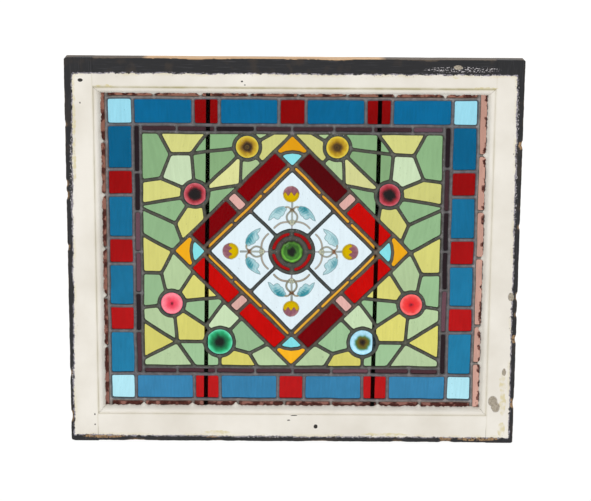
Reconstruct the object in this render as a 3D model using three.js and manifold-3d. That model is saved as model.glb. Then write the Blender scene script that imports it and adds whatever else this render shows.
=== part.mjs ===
// A leaded, stained and painted glass window in its wooden sash.
//
// Frame: millimetres, +X to the viewer's right, -Y towards the viewer, +Z up. The origin is the middle
// of the sash's bottom edge, where it stands on the sill, and Y = 0 is the middle of the glass.
//
// The lead cames are drawn once, as centre lines on the glass plane. Where the lines cross they are cut,
// and the closed meshes between them are traced: each one is a piece of glass. The lead is the panel's
// rectangle with every piece's sight outline taken out, and each sheet of glass runs under the flanges.

import * as THREE from 'three';
import { mergeVertices } from 'three/addons/utils/BufferGeometryUtils.js';
import Module from 'manifold-3d';

const wasm = await Module();
wasm.setup();

// ---------------------------------------------------------------- driving dimensions

const GAP = 0.3;                       // clearance between neighbouring solids

const SASH = { width: 711, height: 616, depth: 35 };
const STILE_FLAT = 44;                 // face of a stile, outside its moulding
const RAIL_FLAT = 45;                  // face of a rail, outside its moulding
const MOULDING = { width: 9.5, quirk: 2, ledge: 1.2, arris: 2.7, steps: 5 };
const WORN_CORNER = { left: 5, right: 3 };

const GLASS = 3;                       // thickness of the glass
const LEAD = { depth: 6, slot: 3.6, heart: 1.8 };
const CAME = 5.5;                      // sight width of the cames
const RING_CAME = 5.9;                 // round the rondels
const ARC_CAME = 5.2;                  // between the two pieces of a point
const STRIP_CAME = 4;                  // across the thin strips
const PANEL = { x: -2.5, z: SASH.height / 2 + 1.2 };   // the panel sits a little off centre

// Half widths and half heights of the rectangles of came, from the panel's own centre.
const EDGE = { x: 305.25, z: 257.25 };       // the came that the rabbet hides
const OUTER = { x: 290, z: 243.8 };          // between the outer fillet and the border
const MIDDLE = { x: 249, z: 201.4 };         // between the border and the inner fillet
const INNER = { x: 237, z: 189.6 };          // round the field
const BORDER_JOINTS = { x: [21, 114, 155.2], z: [21, 89.5, 130.5] };

// The square stood on its corner. A distance s is |x| + |z|, and d is |z| - |x|.
const DIAMOND = { outer: 188.5, middle: 144.9, inner: 131.7, point: 134 };
const PINK = { half: 13, upper: -6.5, lower: 0.5 };    // half length along d, and its middle
const STRIP_JOINT = 46;
const POINT_ARC = { reach: 20.5, sag: 5.2, sides: 4 };

const CENTRE = { jewel: 22.3, jewelCame: 8.2, ring: 34.3, ringCame: 5.8, bridge: 6.5, jewelRise: 4 };
const RONDELS = {                      // on the right-hand side; the left is the mirror image
  amber: { x: 70.5, z: 167, radius: 17.6 },
  red: { x: 152.5, z: 91.8, radius: 18 },
  pink: { x: 190.5, z: -85.2, radius: 17.6 },
  low: { x: 114.3, z: -148, radius: 20.3 },
};
const RONDEL_RISE = 2.2;               // how far a rondel's middle swells towards the viewer
const ROUND_SIDES = 12;
const JEWEL_SIDES = 12;
const RING_SIDES = 20;

const BAR = { width: 6.5, depth: 6, top: 134, bottomLeft: -140, bottomRight: 129 };
const PUTTY = { width: 12.5, depth: 11 };

// ---------------------------------------------------------------- small tools

/** A closed geometry as a manifold-3d solid. */
function solid(geometry) {
  const bare = geometry.clone();
  bare.deleteAttribute('normal');
  bare.deleteAttribute('uv');
  const merged = mergeVertices(bare, 1e-4);
  const mesh = new wasm.Mesh({
    numProp: 3,
    vertProperties: new Float32Array(merged.attributes.position.array),
    triVerts: new Uint32Array(merged.index.array),
  });
  return new wasm.Manifold(mesh);
}

/** A manifold-3d solid back as a geometry. */
function geometryOf(body) {
  const mesh = body.getMesh();
  const geometry = new THREE.BufferGeometry();
  geometry.setAttribute('position', new THREE.BufferAttribute(new Float32Array(mesh.vertProperties), 3));
  geometry.setIndex(new THREE.BufferAttribute(new Uint32Array(mesh.triVerts), 1));
  geometry.computeVertexNormals();
  return geometry;
}

/** A flat slab with the given outline in x and z, from the depth yFront back to yBack. */
function slab(outline, yFront, yBack) {
  const shape = new THREE.Shape(outline.map(([x, z]) => new THREE.Vector2(x, z)));
  const geometry = new THREE.ExtrudeGeometry(shape, { depth: yBack - yFront, bevelEnabled: false });
  geometry.rotateX(Math.PI / 2);
  geometry.translate(0, yBack, 0);
  return geometry;
}

/** The corners of a regular polygon, the first one straight up, whose mean radius is the one given. */
function roundOutline(x, z, radius, sides = ROUND_SIDES) {
  const corner = (2 * radius) / (1 + Math.cos(Math.PI / sides));
  const turn = (2 * Math.PI) / sides;
  return Array.from({ length: sides }, (_, i) => [
    x + corner * Math.sin(-i * turn),
    z + corner * Math.cos(i * turn),
  ]);
}

/** A rectangle between two corners, anticlockwise. */
function rectangle(x0, z0, x1, z1) {
  return [[x0, z0], [x1, z0], [x1, z1], [x0, z1]];
}

/** A point of the diamond's side from its s and d, in the quarter given by two signs. */
function onDiamond(s, d, sx, sz) {
  return [(sx * (s - d)) / 2, (sz * (s + d)) / 2];
}

/** The area of an outline, positive when it runs anticlockwise. */
function area(points) {
  return THREE.ShapeUtils.area(points.map(([x, z]) => new THREE.Vector2(x, z)));
}

/** An anticlockwise outline moved inwards, each side by its own distance. A side that closes up goes. */
function inset(points, distances) {
  let sides = points.map((start, i) => {
    const end = points[(i + 1) % points.length];
    const length = Math.hypot(end[0] - start[0], end[1] - start[1]);
    const along = [(end[0] - start[0]) / length, (end[1] - start[1]) / length];
    return { along, level: along[0] * start[1] - along[1] * start[0] + distances[i] };
  });
  for (;;) {
    const count = sides.length;
    const corners = sides.map((side, i) => {
      const last = sides[(i + count - 1) % count];
      const cross = last.along[0] * side.along[1] - last.along[1] * side.along[0];
      return [
        (last.along[0] * side.level - side.along[0] * last.level) / -cross,
        (last.along[1] * side.level - side.along[1] * last.level) / -cross,
      ];
    });
    const lengths = sides.map(({ along }, i) => {
      const next = corners[(i + 1) % count];
      return (next[0] - corners[i][0]) * along[0] + (next[1] - corners[i][1]) * along[1];
    });
    const shortest = lengths.indexOf(Math.min(...lengths));
    if (lengths[shortest] > 0.02) return corners;
    sides = sides.filter((_, i) => i !== shortest);
  }
}

/** An outline moved inwards by one distance. */
function shrink(points, distance) {
  const turned = area(points) > 0 ? points : [...points].reverse();
  return inset(turned, turned.map(() => distance));
}

// ---------------------------------------------------------------- the came net

const cames = [];

/** One straight came from p to q. Its ends run on by reach, and what ends free is pruned later. */
function came(p, q, width = CAME, reach = 0.8) {
  const length = Math.hypot(q[0] - p[0], q[1] - p[1]);
  const u = [(q[0] - p[0]) / length, (q[1] - p[1]) / length];
  cames.push({
    p: [p[0] - u[0] * reach, p[1] - u[1] * reach],
    q: [q[0] + u[0] * reach, q[1] + u[1] * reach],
    half: width / 2,
  });
}

/** A run of came through the points given. */
function cameRun(points, width, closed) {
  const last = closed ? points.length : points.length - 1;
  for (let i = 0; i < last; i += 1) {
    came(points[i], points[(i + 1) % points.length], width, 0);
  }
}

/** The same came on both sides of the window. Where it meets a rondel it runs on into the ring. */
function pair(p, q) {
  const nearRing = ([x, z]) => Object.values(RONDELS).some(
    (r) => Math.hypot(x - r.x, z - r.z) < r.radius + RING_CAME + 7,
  );
  const length = Math.hypot(q[0] - p[0], q[1] - p[1]);
  const u = [(q[0] - p[0]) / length, (q[1] - p[1]) / length];
  const before = nearRing(p) ? 6 : 0;
  const after = nearRing(q) ? 6 : 0;
  const start = [p[0] - u[0] * before, p[1] - u[1] * before];
  const end = [q[0] + u[0] * after, q[1] + u[1] * after];
  came(start, end);
  came([-start[0], start[1]], [-end[0], end[1]]);
}

function drawBorders() {
  cameRun(rectangle(-EDGE.x, -EDGE.z, EDGE.x, EDGE.z), CAME, true);
  cameRun(rectangle(-MIDDLE.x, -MIDDLE.z, MIDDLE.x, MIDDLE.z), CAME, true);
  for (const side of [-1, 1]) {
    came([side * OUTER.x, -EDGE.z], [side * OUTER.x, EDGE.z]);
    came([-OUTER.x, side * OUTER.z], [OUTER.x, side * OUTER.z]);
    came([side * INNER.x, -MIDDLE.z], [side * INNER.x, MIDDLE.z]);
    came([-INNER.x, side * INNER.z], [INNER.x, side * INNER.z]);
    for (const mirror of [-1, 1]) {
      for (const x of [...BORDER_JOINTS.x, MIDDLE.x]) {
        came([mirror * x, side * MIDDLE.z], [mirror * x, side * OUTER.z]);
      }
      for (const z of [...BORDER_JOINTS.z, MIDDLE.z]) {
        came([side * MIDDLE.x, mirror * z], [side * OUTER.x, mirror * z]);
      }
    }
  }
}

/** Turns a point of the top of the diamond to one of its four points. */
function quarter([x, z], k) {
  const c = [1, 0, -1, 0][k];
  const s = [0, 1, 0, -1][k];
  return [x * c + z * s, z * c - x * s];
}

function drawDiamond() {
  for (const sx of [-1, 1]) {
    for (const sz of [-1, 1]) {
      const at = (s, d) => onDiamond(s, d, sx, sz);
      came(at(DIAMOND.outer, DIAMOND.outer), at(DIAMOND.outer, -DIAMOND.outer), CAME, 3);
      for (const s of [DIAMOND.middle, DIAMOND.inner]) {
        came(at(s, DIAMOND.point), at(s, -DIAMOND.point));
      }
      const middle = sz > 0 ? PINK.upper : PINK.lower;
      for (const d of [middle - PINK.half, middle + PINK.half]) {
        came(at(DIAMOND.middle, d), at(DIAMOND.outer, d));
      }
      for (const d of [-STRIP_JOINT, STRIP_JOINT]) {
        came(at(DIAMOND.inner, d), at(DIAMOND.middle, d), STRIP_CAME);
      }
      came(at(DIAMOND.inner, 0), at((CENTRE.ring - 2) * Math.SQRT2, 0));
    }
  }
  const side = (DIAMOND.outer - DIAMOND.point) / 2;
  const { reach, sag, sides } = POINT_ARC;
  const radius = (reach * reach + sag * sag) / (2 * sag);
  const half = Math.asin(reach / radius) * 1.04;
  const apex = DIAMOND.point + reach + sag;
  for (let k = 0; k < 4; k += 1) {
    for (const sx of [-1, 1]) {
      came(quarter([-sx * 1.6, DIAMOND.point - 1.6], k), quarter([sx * side, DIAMOND.point + side], k));
    }
    const arc = Array.from({ length: sides + 1 }, (_, i) => {
      const angle = half * ((2 * i) / sides - 1);
      return quarter([radius * Math.sin(angle), apex - radius + radius * Math.cos(angle)], k);
    });
    cameRun(arc, ARC_CAME, false);
  }
}

function drawRounds() {
  cameRun(roundOutline(0, 0, CENTRE.ring, RING_SIDES), CENTRE.ringCame, true);
  cameRun(roundOutline(0, 0, CENTRE.jewel, JEWEL_SIDES), CENTRE.jewelCame, true);
  for (let k = 0; k < 4; k += 1) {
    came(quarter([0, CENTRE.jewel], k), quarter([0, CENTRE.ring], k), CENTRE.bridge, 1);
  }
  for (const { x, z, radius } of Object.values(RONDELS)) {
    for (const side of [-1, 1]) {
      cameRun(roundOutline(side * x, z, radius + RING_CAME / 2), RING_CAME, true);
    }
  }
}

/** The crazed field above and below the diamond, given for the right-hand side. */
function drawField() {
  const top = INNER.z;
  const edge = INNER.x;
  const sidePoint = [DIAMOND.outer, 0];
  const { amber, red, low } = RONDELS;

  const peak = [191, 155];
  const fork = [158, 156];
  const elbow = [206, 116.5];
  const lowFork = [184, 44];
  pair([209, top], peak);
  pair(peak, fork);
  pair(peak, elbow);
  pair(elbow, [edge, 112]);
  pair(fork, [133, top]);
  pair(elbow, [red.x + 17, red.z + 9]);
  pair(fork, [amber.x + 21, amber.z - 2.6]);
  pair(fork, [red.x + 2, red.z + 21]);
  pair([edge, 75], [174, 85.5]);
  pair([edge, 69], lowFork);
  pair(lowFork, [red.x + 12, red.z - 18]);
  pair(lowFork, [173, 15]);
  pair([edge, 27], sidePoint);
  pair([139.4, 72], [136.5, 50]);
  pair([131, 109], [89, 149]);
  pair([129.5, 98.5], [82, 106.8]);
  pair([80, 145.5], [81.5, 107]);
  pair([54.5, 149], [47, 141.5]);
  pair([51.5, 176.5], [29, top]);
  came([amber.x, amber.z + 19], [amber.x, top]);
  came([-amber.x, amber.z + 19], [-amber.x, top]);

  const shoulder = [206, -35.5];
  const star = [182.5, -148.2];
  const knee = [136.5, -121];
  const notch = [66.5, -167];
  pair(sidePoint, shoulder);
  pair(shoulder, [edge, -35.5]);
  pair(shoulder, [200, -65]);
  pair([155.5, -33], [178, -67]);
  pair([172, -81], [113.5, -75]);
  pair([212, -89], [edge, -92.3]);
  pair([edge, -113.5], star);
  pair([186, -106], star);
  pair(star, [edge, -177]);
  pair(star, [139, low.z]);
  pair(star, [154.5, -top]);
  pair([170, -98.5], knee);
  pair(knee, [low.x + 15, low.z + 18]);
  pair(knee, [107, -81.5]);
  pair([79.5, -109], [99, -130]);
  pair([95, -158.8], notch);
  pair(notch, [37.5, -151]);
  pair(notch, [53.5, -top]);
  pair([low.x, -169], [low.x, -top]);
}

/** Where two cames cross, as a share of each one's length, or null. */
function crossing(a, b) {
  const da = [a.q[0] - a.p[0], a.q[1] - a.p[1]];
  const db = [b.q[0] - b.p[0], b.q[1] - b.p[1]];
  const between = [b.p[0] - a.p[0], b.p[1] - a.p[1]];
  const cross = da[0] * db[1] - da[1] * db[0];
  if (Math.abs(cross) < 1e-9) return null;
  const t = (between[0] * db[1] - between[1] * db[0]) / cross;
  const u = (between[0] * da[1] - between[1] * da[0]) / cross;
  const inside = (v) => v > -1e-9 && v < 1 + 1e-9;
  return inside(t) && inside(u) ? t : null;
}

/** Cuts every came where others cross it, and prunes the free ends. */
function cutNet() {
  const points = [];
  const pointAt = (x, z) => {
    const found = points.findIndex((p) => Math.abs(p[0] - x) < 0.05 && Math.abs(p[1] - z) < 0.05);
    if (found >= 0) return found;
    points.push([x, z]);
    return points.length - 1;
  };
  let edges = [];
  const known = new Set();
  for (const a of cames) {
    const shares = [0, 1];
    for (const b of cames) {
      const t = a === b ? null : crossing(a, b);
      if (t !== null) shares.push(Math.min(Math.max(t, 0), 1));
    }
    shares.sort((s, t) => s - t);
    const stops = shares.map((t) => pointAt(a.p[0] + (a.q[0] - a.p[0]) * t, a.p[1] + (a.q[1] - a.p[1]) * t));
    for (let i = 1; i < stops.length; i += 1) {
      const [from, to] = [Math.min(stops[i - 1], stops[i]), Math.max(stops[i - 1], stops[i])];
      const key = `${from} ${to}`;
      if (from !== to && !known.has(key)) {
        known.add(key);
        edges.push({ from, to, half: a.half });
      }
    }
  }
  for (let free = true; free;) {
    const count = new Array(points.length).fill(0);
    edges.forEach((e) => {
      count[e.from] += 1;
      count[e.to] += 1;
    });
    const kept = edges.filter((e) => count[e.from] > 1 && count[e.to] > 1);
    free = kept.length < edges.length;
    edges = kept;
  }
  return { points, edges };
}

/** The closed meshes of the net, each with the half width of the came along every side. */
function tracePieces({ points, edges }) {
  const ways = points.map(() => []);
  for (const { from, to, half } of edges) {
    ways[from].push({ to, half });
    ways[to].push({ to: from, half });
  }
  ways.forEach((list, i) => list.sort((a, b) => {
    const angle = (w) => Math.atan2(points[w.to][1] - points[i][1], points[w.to][0] - points[i][0]);
    return angle(a) - angle(b);
  }));
  const seen = new Set();
  const pieces = [];
  ways.forEach((list, start) => {
    for (const first of list) {
      let at = start;
      let way = first;
      const outline = [];
      const halves = [];
      while (!seen.has(`${at} ${way.to}`)) {
        seen.add(`${at} ${way.to}`);
        outline.push(points[at]);
        halves.push(way.half);
        const next = ways[way.to];
        const back = next.findIndex((w) => w.to === at);
        at = way.to;
        way = next[(back + next.length - 1) % next.length];
      }
      if (outline.length > 2 && area(outline) > 20) pieces.push(straighten(outline, halves));
    }
  });
  return pieces;
}

/** Drops the points where an outline runs straight on along cames of one width. */
function straighten(outline, halves) {
  const count = outline.length;
  const keep = outline.map((b, i) => {
    const a = outline[(i + count - 1) % count];
    const c = outline[(i + 1) % count];
    const u = [b[0] - a[0], b[1] - a[1]];
    const v = [c[0] - b[0], c[1] - b[1]];
    const bend = (u[0] * v[1] - u[1] * v[0]) / (Math.hypot(...u) * Math.hypot(...v));
    return Math.abs(bend) > 1e-3 || halves[i] !== halves[(i + count - 1) % count];
  });
  return {
    outline: outline.filter((_, i) => keep[i]),
    halves: halves.filter((_, i) => keep[i]),
  };
}

drawBorders();
drawDiamond();
drawRounds();
drawField();
const pieces = tracePieces(cutNet());

/** The outline that shows of a piece, less a further margin. */
function sight(piece, margin = 0) {
  return inset(piece.outline, piece.halves.map((half) => half + margin));
}

/** The piece of glass under a point of the panel. */
function pieceAt(x, z) {
  return pieces.find(({ outline }) => {
    let inside = false;
    outline.forEach(([ax, az], i) => {
      const [bx, bz] = outline[(i + 1) % outline.length];
      if ((az > z) !== (bz > z) && x < ((bx - ax) * (z - az)) / (bz - az) + ax) inside = !inside;
    });
    return inside;
  });
}

// ---------------------------------------------------------------- the model

const sash = new THREE.Group();
const panel = new THREE.Group();
panel.position.set(PANEL.x, 0, PANEL.z);
const stainedGlassWindow = new THREE.Group();
stainedGlassWindow.add(sash, panel);

const finish = (color, roughness, metalness = 0) => () => new THREE.MeshStandardMaterial({
  color,
  roughness,
  metalness,
});
const stain = (color) => finish(color, 0.15);
const PAINTED_PINE = finish(0xe6dfd2, 0.6);
const CAST_LEAD = finish(0x4a4a48, 0.55, 0.6);
const STEEL = finish(0x2a2624, 0.6, 0.7);
const LINSEED_PUTTY = finish(0xb9ad98, 0.85);
const COBALT = stain(0x14689a);
const ICE = stain(0x93d3e8);
const AMETHYST = stain(0x53303a);
const SAGE = stain(0x9fbe86);
const RUBY = stain(0xb00d10);
const AMBER = stain(0xf0a516);
const SKY = stain(0x6fd3e2);
const OPAL = stain(0xdbe8f2);
const MEADOW = stain(0x4f9a30);
const HONEY = stain(0xcaa62c);
const ROSE = stain(0xb8404e);
const PINK_GLASS = stain(0xf56a80);
const SEA_GREEN = stain(0x2f9d6c);

function add(group, name, geometry, material) {
  const mesh = new THREE.Mesh(geometry, material());
  mesh.name = name;
  group.add(mesh);
}

// ---- sash: stiles the full height, rails between them, one moulding mitred round the glass

const HALF = { x: SASH.width / 2, y: SASH.depth / 2, z: SASH.height / 2 };
const REBATE = { x: HALF.x - STILE_FLAT, z: HALF.z - RAIL_FLAT };   // walls the panel drops between
const SEAT = -LEAD.depth / 2 - GAP;    // the lip's inner face, which the panel is bedded against

/** The moulding's section: distance in from the flat, and depth. It starts inside the member. */
function mouldingSection() {
  const { width, quirk, ledge, arris, steps } = MOULDING;
  const front = -HALF.y + quirk;
  const low = SEAT - arris;
  const round = Array.from({ length: steps + 1 }, (_, i) => {
    const angle = ((Math.PI / 2) * i) / steps;
    return [ledge + (width - ledge) * Math.sin(angle), low - (low - front) * Math.cos(angle)];
  });
  return [[-1, SEAT], [-1, front], ...round, [width, SEAT]];
}

/** The moulding along Z, rooted at x = level, growing the way of inward, its ends mitred. */
function mouldingBar(level, inward, length) {
  const section = mouldingSection().map(([u, y]) => new THREE.Vector2(level + inward * u, y));
  const geometry = new THREE.ExtrudeGeometry(new THREE.Shape(section), { depth: 1, bevelEnabled: false });
  const position = geometry.attributes.position;
  for (let i = 0; i < position.count; i += 1) {
    const u = (position.getX(i) - level) * inward;
    const end = Math.min(length / 2 - u - GAP * 0.75, length / 2 - GAP);
    position.setZ(i, position.getZ(i) > 0.5 ? end : -end);
  }
  return geometry;
}

/** The stile on one side, with its two outer corners worn off. */
function stile(side, worn) {
  const outer = side * HALF.x;
  const inner = side * REBATE.x;
  const outline = [
    [inner, -HALF.z],
    [outer - side * worn, -HALF.z],
    [outer, -HALF.z + worn * 0.7],
    [outer, HALF.z - worn],
    [outer - side * worn, HALF.z],
    [inner, HALF.z],
  ];
  const moulding = mouldingBar(inner, -side, 2 * REBATE.z);
  return geometryOf(solid(slab(outline, -HALF.y, HALF.y)).add(solid(moulding)));
}

/** The rail at the top or the bottom, shouldered between the stiles. */
function rail(side) {
  const end = REBATE.x - GAP;
  const body = slab(rectangle(-end, side * REBATE.z, end, side * HALF.z), -HALF.y, HALF.y);
  const moulding = mouldingBar(-side * REBATE.z, side, 2 * REBATE.x);
  moulding.rotateY(Math.PI / 2);
  return geometryOf(solid(body).add(solid(moulding)));
}

sash.position.set(0, 0, HALF.z);
add(sash, 'stile_left', stile(-1, WORN_CORNER.left), PAINTED_PINE);
add(sash, 'stile_right', stile(1, WORN_CORNER.right), PAINTED_PINE);
add(sash, 'rail_top', rail(1), PAINTED_PINE);
add(sash, 'rail_bottom', rail(-1), PAINTED_PINE);

// ---- two upright bars behind the panel, and the putty that beds it in the rebate

const BACK = LEAD.depth / 2 + GAP;

/** A support bar from its middle on the two rails, made larger by grow on every side but its ends. */
function supportBar(top, bottom, grow = 0) {
  const length = 2 * REBATE.z - 2 * GAP;
  const geometry = new THREE.BoxGeometry(BAR.width + 2 * grow, BAR.depth + 2 * grow, length);
  geometry.rotateY(Math.atan2(top - bottom, length));
  geometry.translate((top + bottom) / 2, BACK + BAR.depth / 2, 0);
  return geometry;
}

/** A ring of putty, triangular in section, thickest against the rebate's walls. */
function puttyRing() {
  const section = [
    [GAP, BACK],
    [GAP, BACK + PUTTY.depth],
    [GAP + PUTTY.width, BACK],
    [GAP, BACK],
  ];
  const points = section.map(([u, y]) => new THREE.Vector2((REBATE.x - u) * Math.SQRT2, y));
  const ring = new THREE.LatheGeometry(points, 4, Math.PI / 4);
  const position = ring.attributes.position;
  for (let i = 0; i < position.count; i += 1) {
    const z = position.getZ(i);
    position.setZ(i, z - Math.sign(z) * (REBATE.x - REBATE.z));
  }
  return ring;
}

const bars = { left: [-BAR.top, BAR.bottomLeft], right: [BAR.top, BAR.bottomRight] };
let putty = solid(puttyRing());
for (const [side, [top, bottom]] of Object.entries(bars)) {
  add(sash, `support_bar_${side}`, supportBar(top, bottom), STEEL);
  putty = putty.subtract(solid(supportBar(top, bottom, GAP)));
}
add(sash, 'glazing_putty', geometryOf(putty), LINSEED_PUTTY);

// ---- glass in runs: neighbouring pieces of one band are one sheet, which the cames cross

/** A sheet with its outline and round holes given on the came's middle line, kept back by margin. */
function sheet({ outline, rounds = [] }, margin, half) {
  let body = solid(slab(shrink(outline, margin), -half, half));
  for (const [x, z, radius, sides = ROUND_SIDES] of rounds) {
    body = body.subtract(solid(slab(roundOutline(x, z, radius + margin, sides), -2 * half, 2 * half)));
  }
  return body;
}

const runs = [];
for (const side of [-1, 1]) {
  const upright = side < 0 ? 'left' : 'right';
  const level = side < 0 ? 'bottom' : 'top';
  const across = (near, far, x) => rectangle(-x, side * near, x, side * far);
  const down = (near, far, z) => rectangle(side * near, -z, side * far, z);
  runs.push(
    { name: `outer_fillet_${level}`, outline: across(OUTER.z, EDGE.z, OUTER.x), material: AMETHYST },
    { name: `outer_fillet_${upright}`, outline: down(OUTER.x, EDGE.x, EDGE.z), material: AMETHYST },
    { name: `border_${level}`, outline: across(MIDDLE.z, OUTER.z, MIDDLE.x), material: COBALT },
    { name: `border_${upright}`, outline: down(MIDDLE.x, OUTER.x, MIDDLE.z), material: COBALT },
    { name: `inner_fillet_${level}`, outline: across(INNER.z, MIDDLE.z, INNER.x), material: AMETHYST },
    { name: `inner_fillet_${upright}`, outline: down(INNER.x, MIDDLE.x, MIDDLE.z), material: AMETHYST },
  );
}
for (const sx of [-1, 1]) {
  const upright = sx < 0 ? 'left' : 'right';
  for (const sz of [-1, 1]) {
    const level = sz < 0 ? 'lower' : 'upper';
    const tip = DIAMOND.outer - INNER.z;
    const corners = [[INNER.x, 27], [INNER.x, sz * INNER.z], [tip, sz * INNER.z], [DIAMOND.outer, 0]];
    const rounds = Object.values(RONDELS).filter((r) => r.z * sz > 0);
    runs.push({
      name: `field_${level}_${upright}`,
      outline: corners.map(([x, z]) => [sx * x, z]),
      rounds: rounds.map((r) => [sx * r.x, r.z, r.radius + RING_CAME / 2]),
      material: SAGE,
    });
    const band = (near, far) => [
      onDiamond(near, -DIAMOND.point, sx, sz),
      onDiamond(far, -DIAMOND.point, sx, sz),
      onDiamond(far, DIAMOND.point, sx, sz),
      onDiamond(near, DIAMOND.point, sx, sz),
    ];
    runs.push(
      {
        name: `diamond_red_${level}_${upright}`,
        outline: band(DIAMOND.middle, DIAMOND.outer),
        material: RUBY,
      },
      {
        name: `diamond_strip_${level}_${upright}`,
        outline: band(DIAMOND.inner, DIAMOND.middle),
        material: AMBER,
      },
    );
  }
}
runs.push({
  name: 'centre_ring_red',
  outline: roundOutline(0, 0, CENTRE.ring, RING_SIDES),
  rounds: [[0, 0, CENTRE.jewel, JEWEL_SIDES]],
  material: RUBY,
});

const rim = rectangle(-EDGE.x - CAME / 2, -EDGE.z - CAME / 2, EDGE.x + CAME / 2, EDGE.z + CAME / 2);
let lattice = solid(slab(rim, -LEAD.depth / 2, LEAD.depth / 2));
for (const piece of pieces) {
  lattice = lattice.subtract(solid(slab(sight(piece), -LEAD.depth, LEAD.depth)));
}
for (const run of runs) {
  lattice = lattice.subtract(sheet(run, LEAD.heart / 2, LEAD.slot / 2));
  add(panel, run.name, geometryOf(sheet(run, LEAD.heart / 2 + GAP, GLASS / 2)), run.material);
}
add(panel, 'came_lattice', geometryOf(lattice), CAST_LEAD);

// ---- glass cut singly: corner squares, points of the diamond, painted panes

function single(name, x, z, material) {
  const outline = sight(pieceAt(x, z), GAP);
  add(panel, name, slab(outline, -GLASS / 2, GLASS / 2), material);
}

for (const [level, sz] of [['top', 1], ['bottom', -1]]) {
  for (const [upright, sx] of [['left', -1], ['right', 1]]) {
    const x = (MIDDLE.x + OUTER.x) / 2;
    const z = (MIDDLE.z + OUTER.z) / 2;
    single(`corner_square_${level}_${upright}`, sx * x, sz * z, ICE);
  }
}
['top', 'right', 'bottom', 'left'].forEach((where, k) => {
  single(`point_amber_${where}`, ...quarter([0, DIAMOND.outer - 15], k), AMBER);
  single(`point_blue_${where}`, ...quarter([0, DIAMOND.point + 15], k), SKY);
  single(`painted_pane_${where}`, ...quarter([0, DIAMOND.inner - 40], k), OPAL);
});

// ---- pressed rondels and the middle jewel: flat behind, swelling to the front, dimpled in the middle

function rondel(name, x, z, rise, sides, material) {
  const outline = sight(pieceAt(x, z), GAP);
  const radius = Math.hypot(outline[0][0] - x, outline[0][1] - z);
  const front = -GLASS / 2;
  const profile = [
    [0, front - 0.7 * rise],
    [0.5 * radius, front - rise],
    [radius, front],
    [radius, GLASS / 2],
    [0, GLASS / 2],
  ];
  const geometry = new THREE.LatheGeometry(profile.map(([r, y]) => new THREE.Vector2(r, y)), sides);
  geometry.translate(x, 0, z);
  add(panel, name, geometry, material);
}

const { amber, red, pink, low } = RONDELS;
const sides = ROUND_SIDES;
rondel('rondel_amber_left', -amber.x, amber.z, RONDEL_RISE, sides, HONEY);
rondel('rondel_amber_right', amber.x, amber.z, RONDEL_RISE, sides, HONEY);
rondel('rondel_red_left', -red.x, red.z, RONDEL_RISE, sides, ROSE);
rondel('rondel_red_right', red.x, red.z, RONDEL_RISE, sides, ROSE);
rondel('rondel_pink', -pink.x, pink.z, RONDEL_RISE, sides, PINK_GLASS);
rondel('rondel_coral', pink.x, pink.z, RONDEL_RISE, sides, PINK_GLASS);
rondel('rondel_green', -low.x, low.z, RONDEL_RISE, sides, SEA_GREEN);
rondel('rondel_pale_blue', low.x, low.z, RONDEL_RISE, sides, ICE);
rondel('centre_jewel', 0, 0, CENTRE.jewelRise, JEWEL_SIDES, MEADOW);

export default stainedGlassWindow;
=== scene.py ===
# %% [markdown]
# # A leaded glass window in its painted sash
#
# The window is a panel of stained and painted glass, held in grey lead cames, in a small pine sash.
# The construction, with every size, is the fixed frame that is loaded first. This script gives it its
# looks: separate pieces of glass, rounded cames with solder at their joints, and worn, painted wood.
# The frame's solids are read for their outlines, so each new piece fits the one that it stands for.

# %% Load the fixed frame
import math

import bpy
import numpy as np
from mathutils import Matrix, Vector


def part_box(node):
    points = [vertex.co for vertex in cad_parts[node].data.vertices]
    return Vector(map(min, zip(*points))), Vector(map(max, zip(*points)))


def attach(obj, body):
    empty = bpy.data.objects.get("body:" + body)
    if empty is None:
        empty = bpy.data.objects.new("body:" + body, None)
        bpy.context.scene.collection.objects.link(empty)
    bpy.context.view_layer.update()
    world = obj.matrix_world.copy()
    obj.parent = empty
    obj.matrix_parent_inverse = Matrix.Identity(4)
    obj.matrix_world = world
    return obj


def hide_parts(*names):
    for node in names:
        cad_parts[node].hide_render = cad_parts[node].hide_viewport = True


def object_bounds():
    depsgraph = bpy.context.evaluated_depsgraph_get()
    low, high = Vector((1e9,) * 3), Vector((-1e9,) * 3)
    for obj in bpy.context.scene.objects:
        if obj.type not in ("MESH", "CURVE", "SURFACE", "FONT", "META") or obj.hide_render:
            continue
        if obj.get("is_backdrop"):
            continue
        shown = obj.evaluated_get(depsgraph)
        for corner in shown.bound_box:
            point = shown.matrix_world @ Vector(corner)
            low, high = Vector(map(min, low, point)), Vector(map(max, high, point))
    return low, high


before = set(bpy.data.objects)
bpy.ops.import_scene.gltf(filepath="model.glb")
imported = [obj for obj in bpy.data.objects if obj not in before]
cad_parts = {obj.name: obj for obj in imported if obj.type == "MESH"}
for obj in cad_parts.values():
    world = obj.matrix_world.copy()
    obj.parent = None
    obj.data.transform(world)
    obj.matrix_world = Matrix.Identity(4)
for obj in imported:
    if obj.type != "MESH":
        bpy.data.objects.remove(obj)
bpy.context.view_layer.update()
MM = 0.001

# %% [markdown]
# ## Helpers for meshes
#
# Every new piece is made of closed shells: points worked out as whole arrays, four-cornered faces
# between neighbours on a grid, and a few many-cornered faces that close it. Points are in millimetres
# here and become metres when the mesh is made. Colours and other values ride on the points.

# %% Meshes from arrays
def grid_faces(rows, columns, rows_close=False, columns_close=False):
    """The faces between neighbouring points of a grid that is counted row by row."""
    row, column = np.meshgrid(
        np.arange(rows if rows_close else rows - 1),
        np.arange(columns if columns_close else columns - 1),
        indexing="ij",
    )
    below = (row + 1) % rows * columns
    row = row * columns
    right = (column + 1) % columns
    return np.stack([row + column, row + right, below + right, below + column], -1).reshape(-1, 4)


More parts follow.
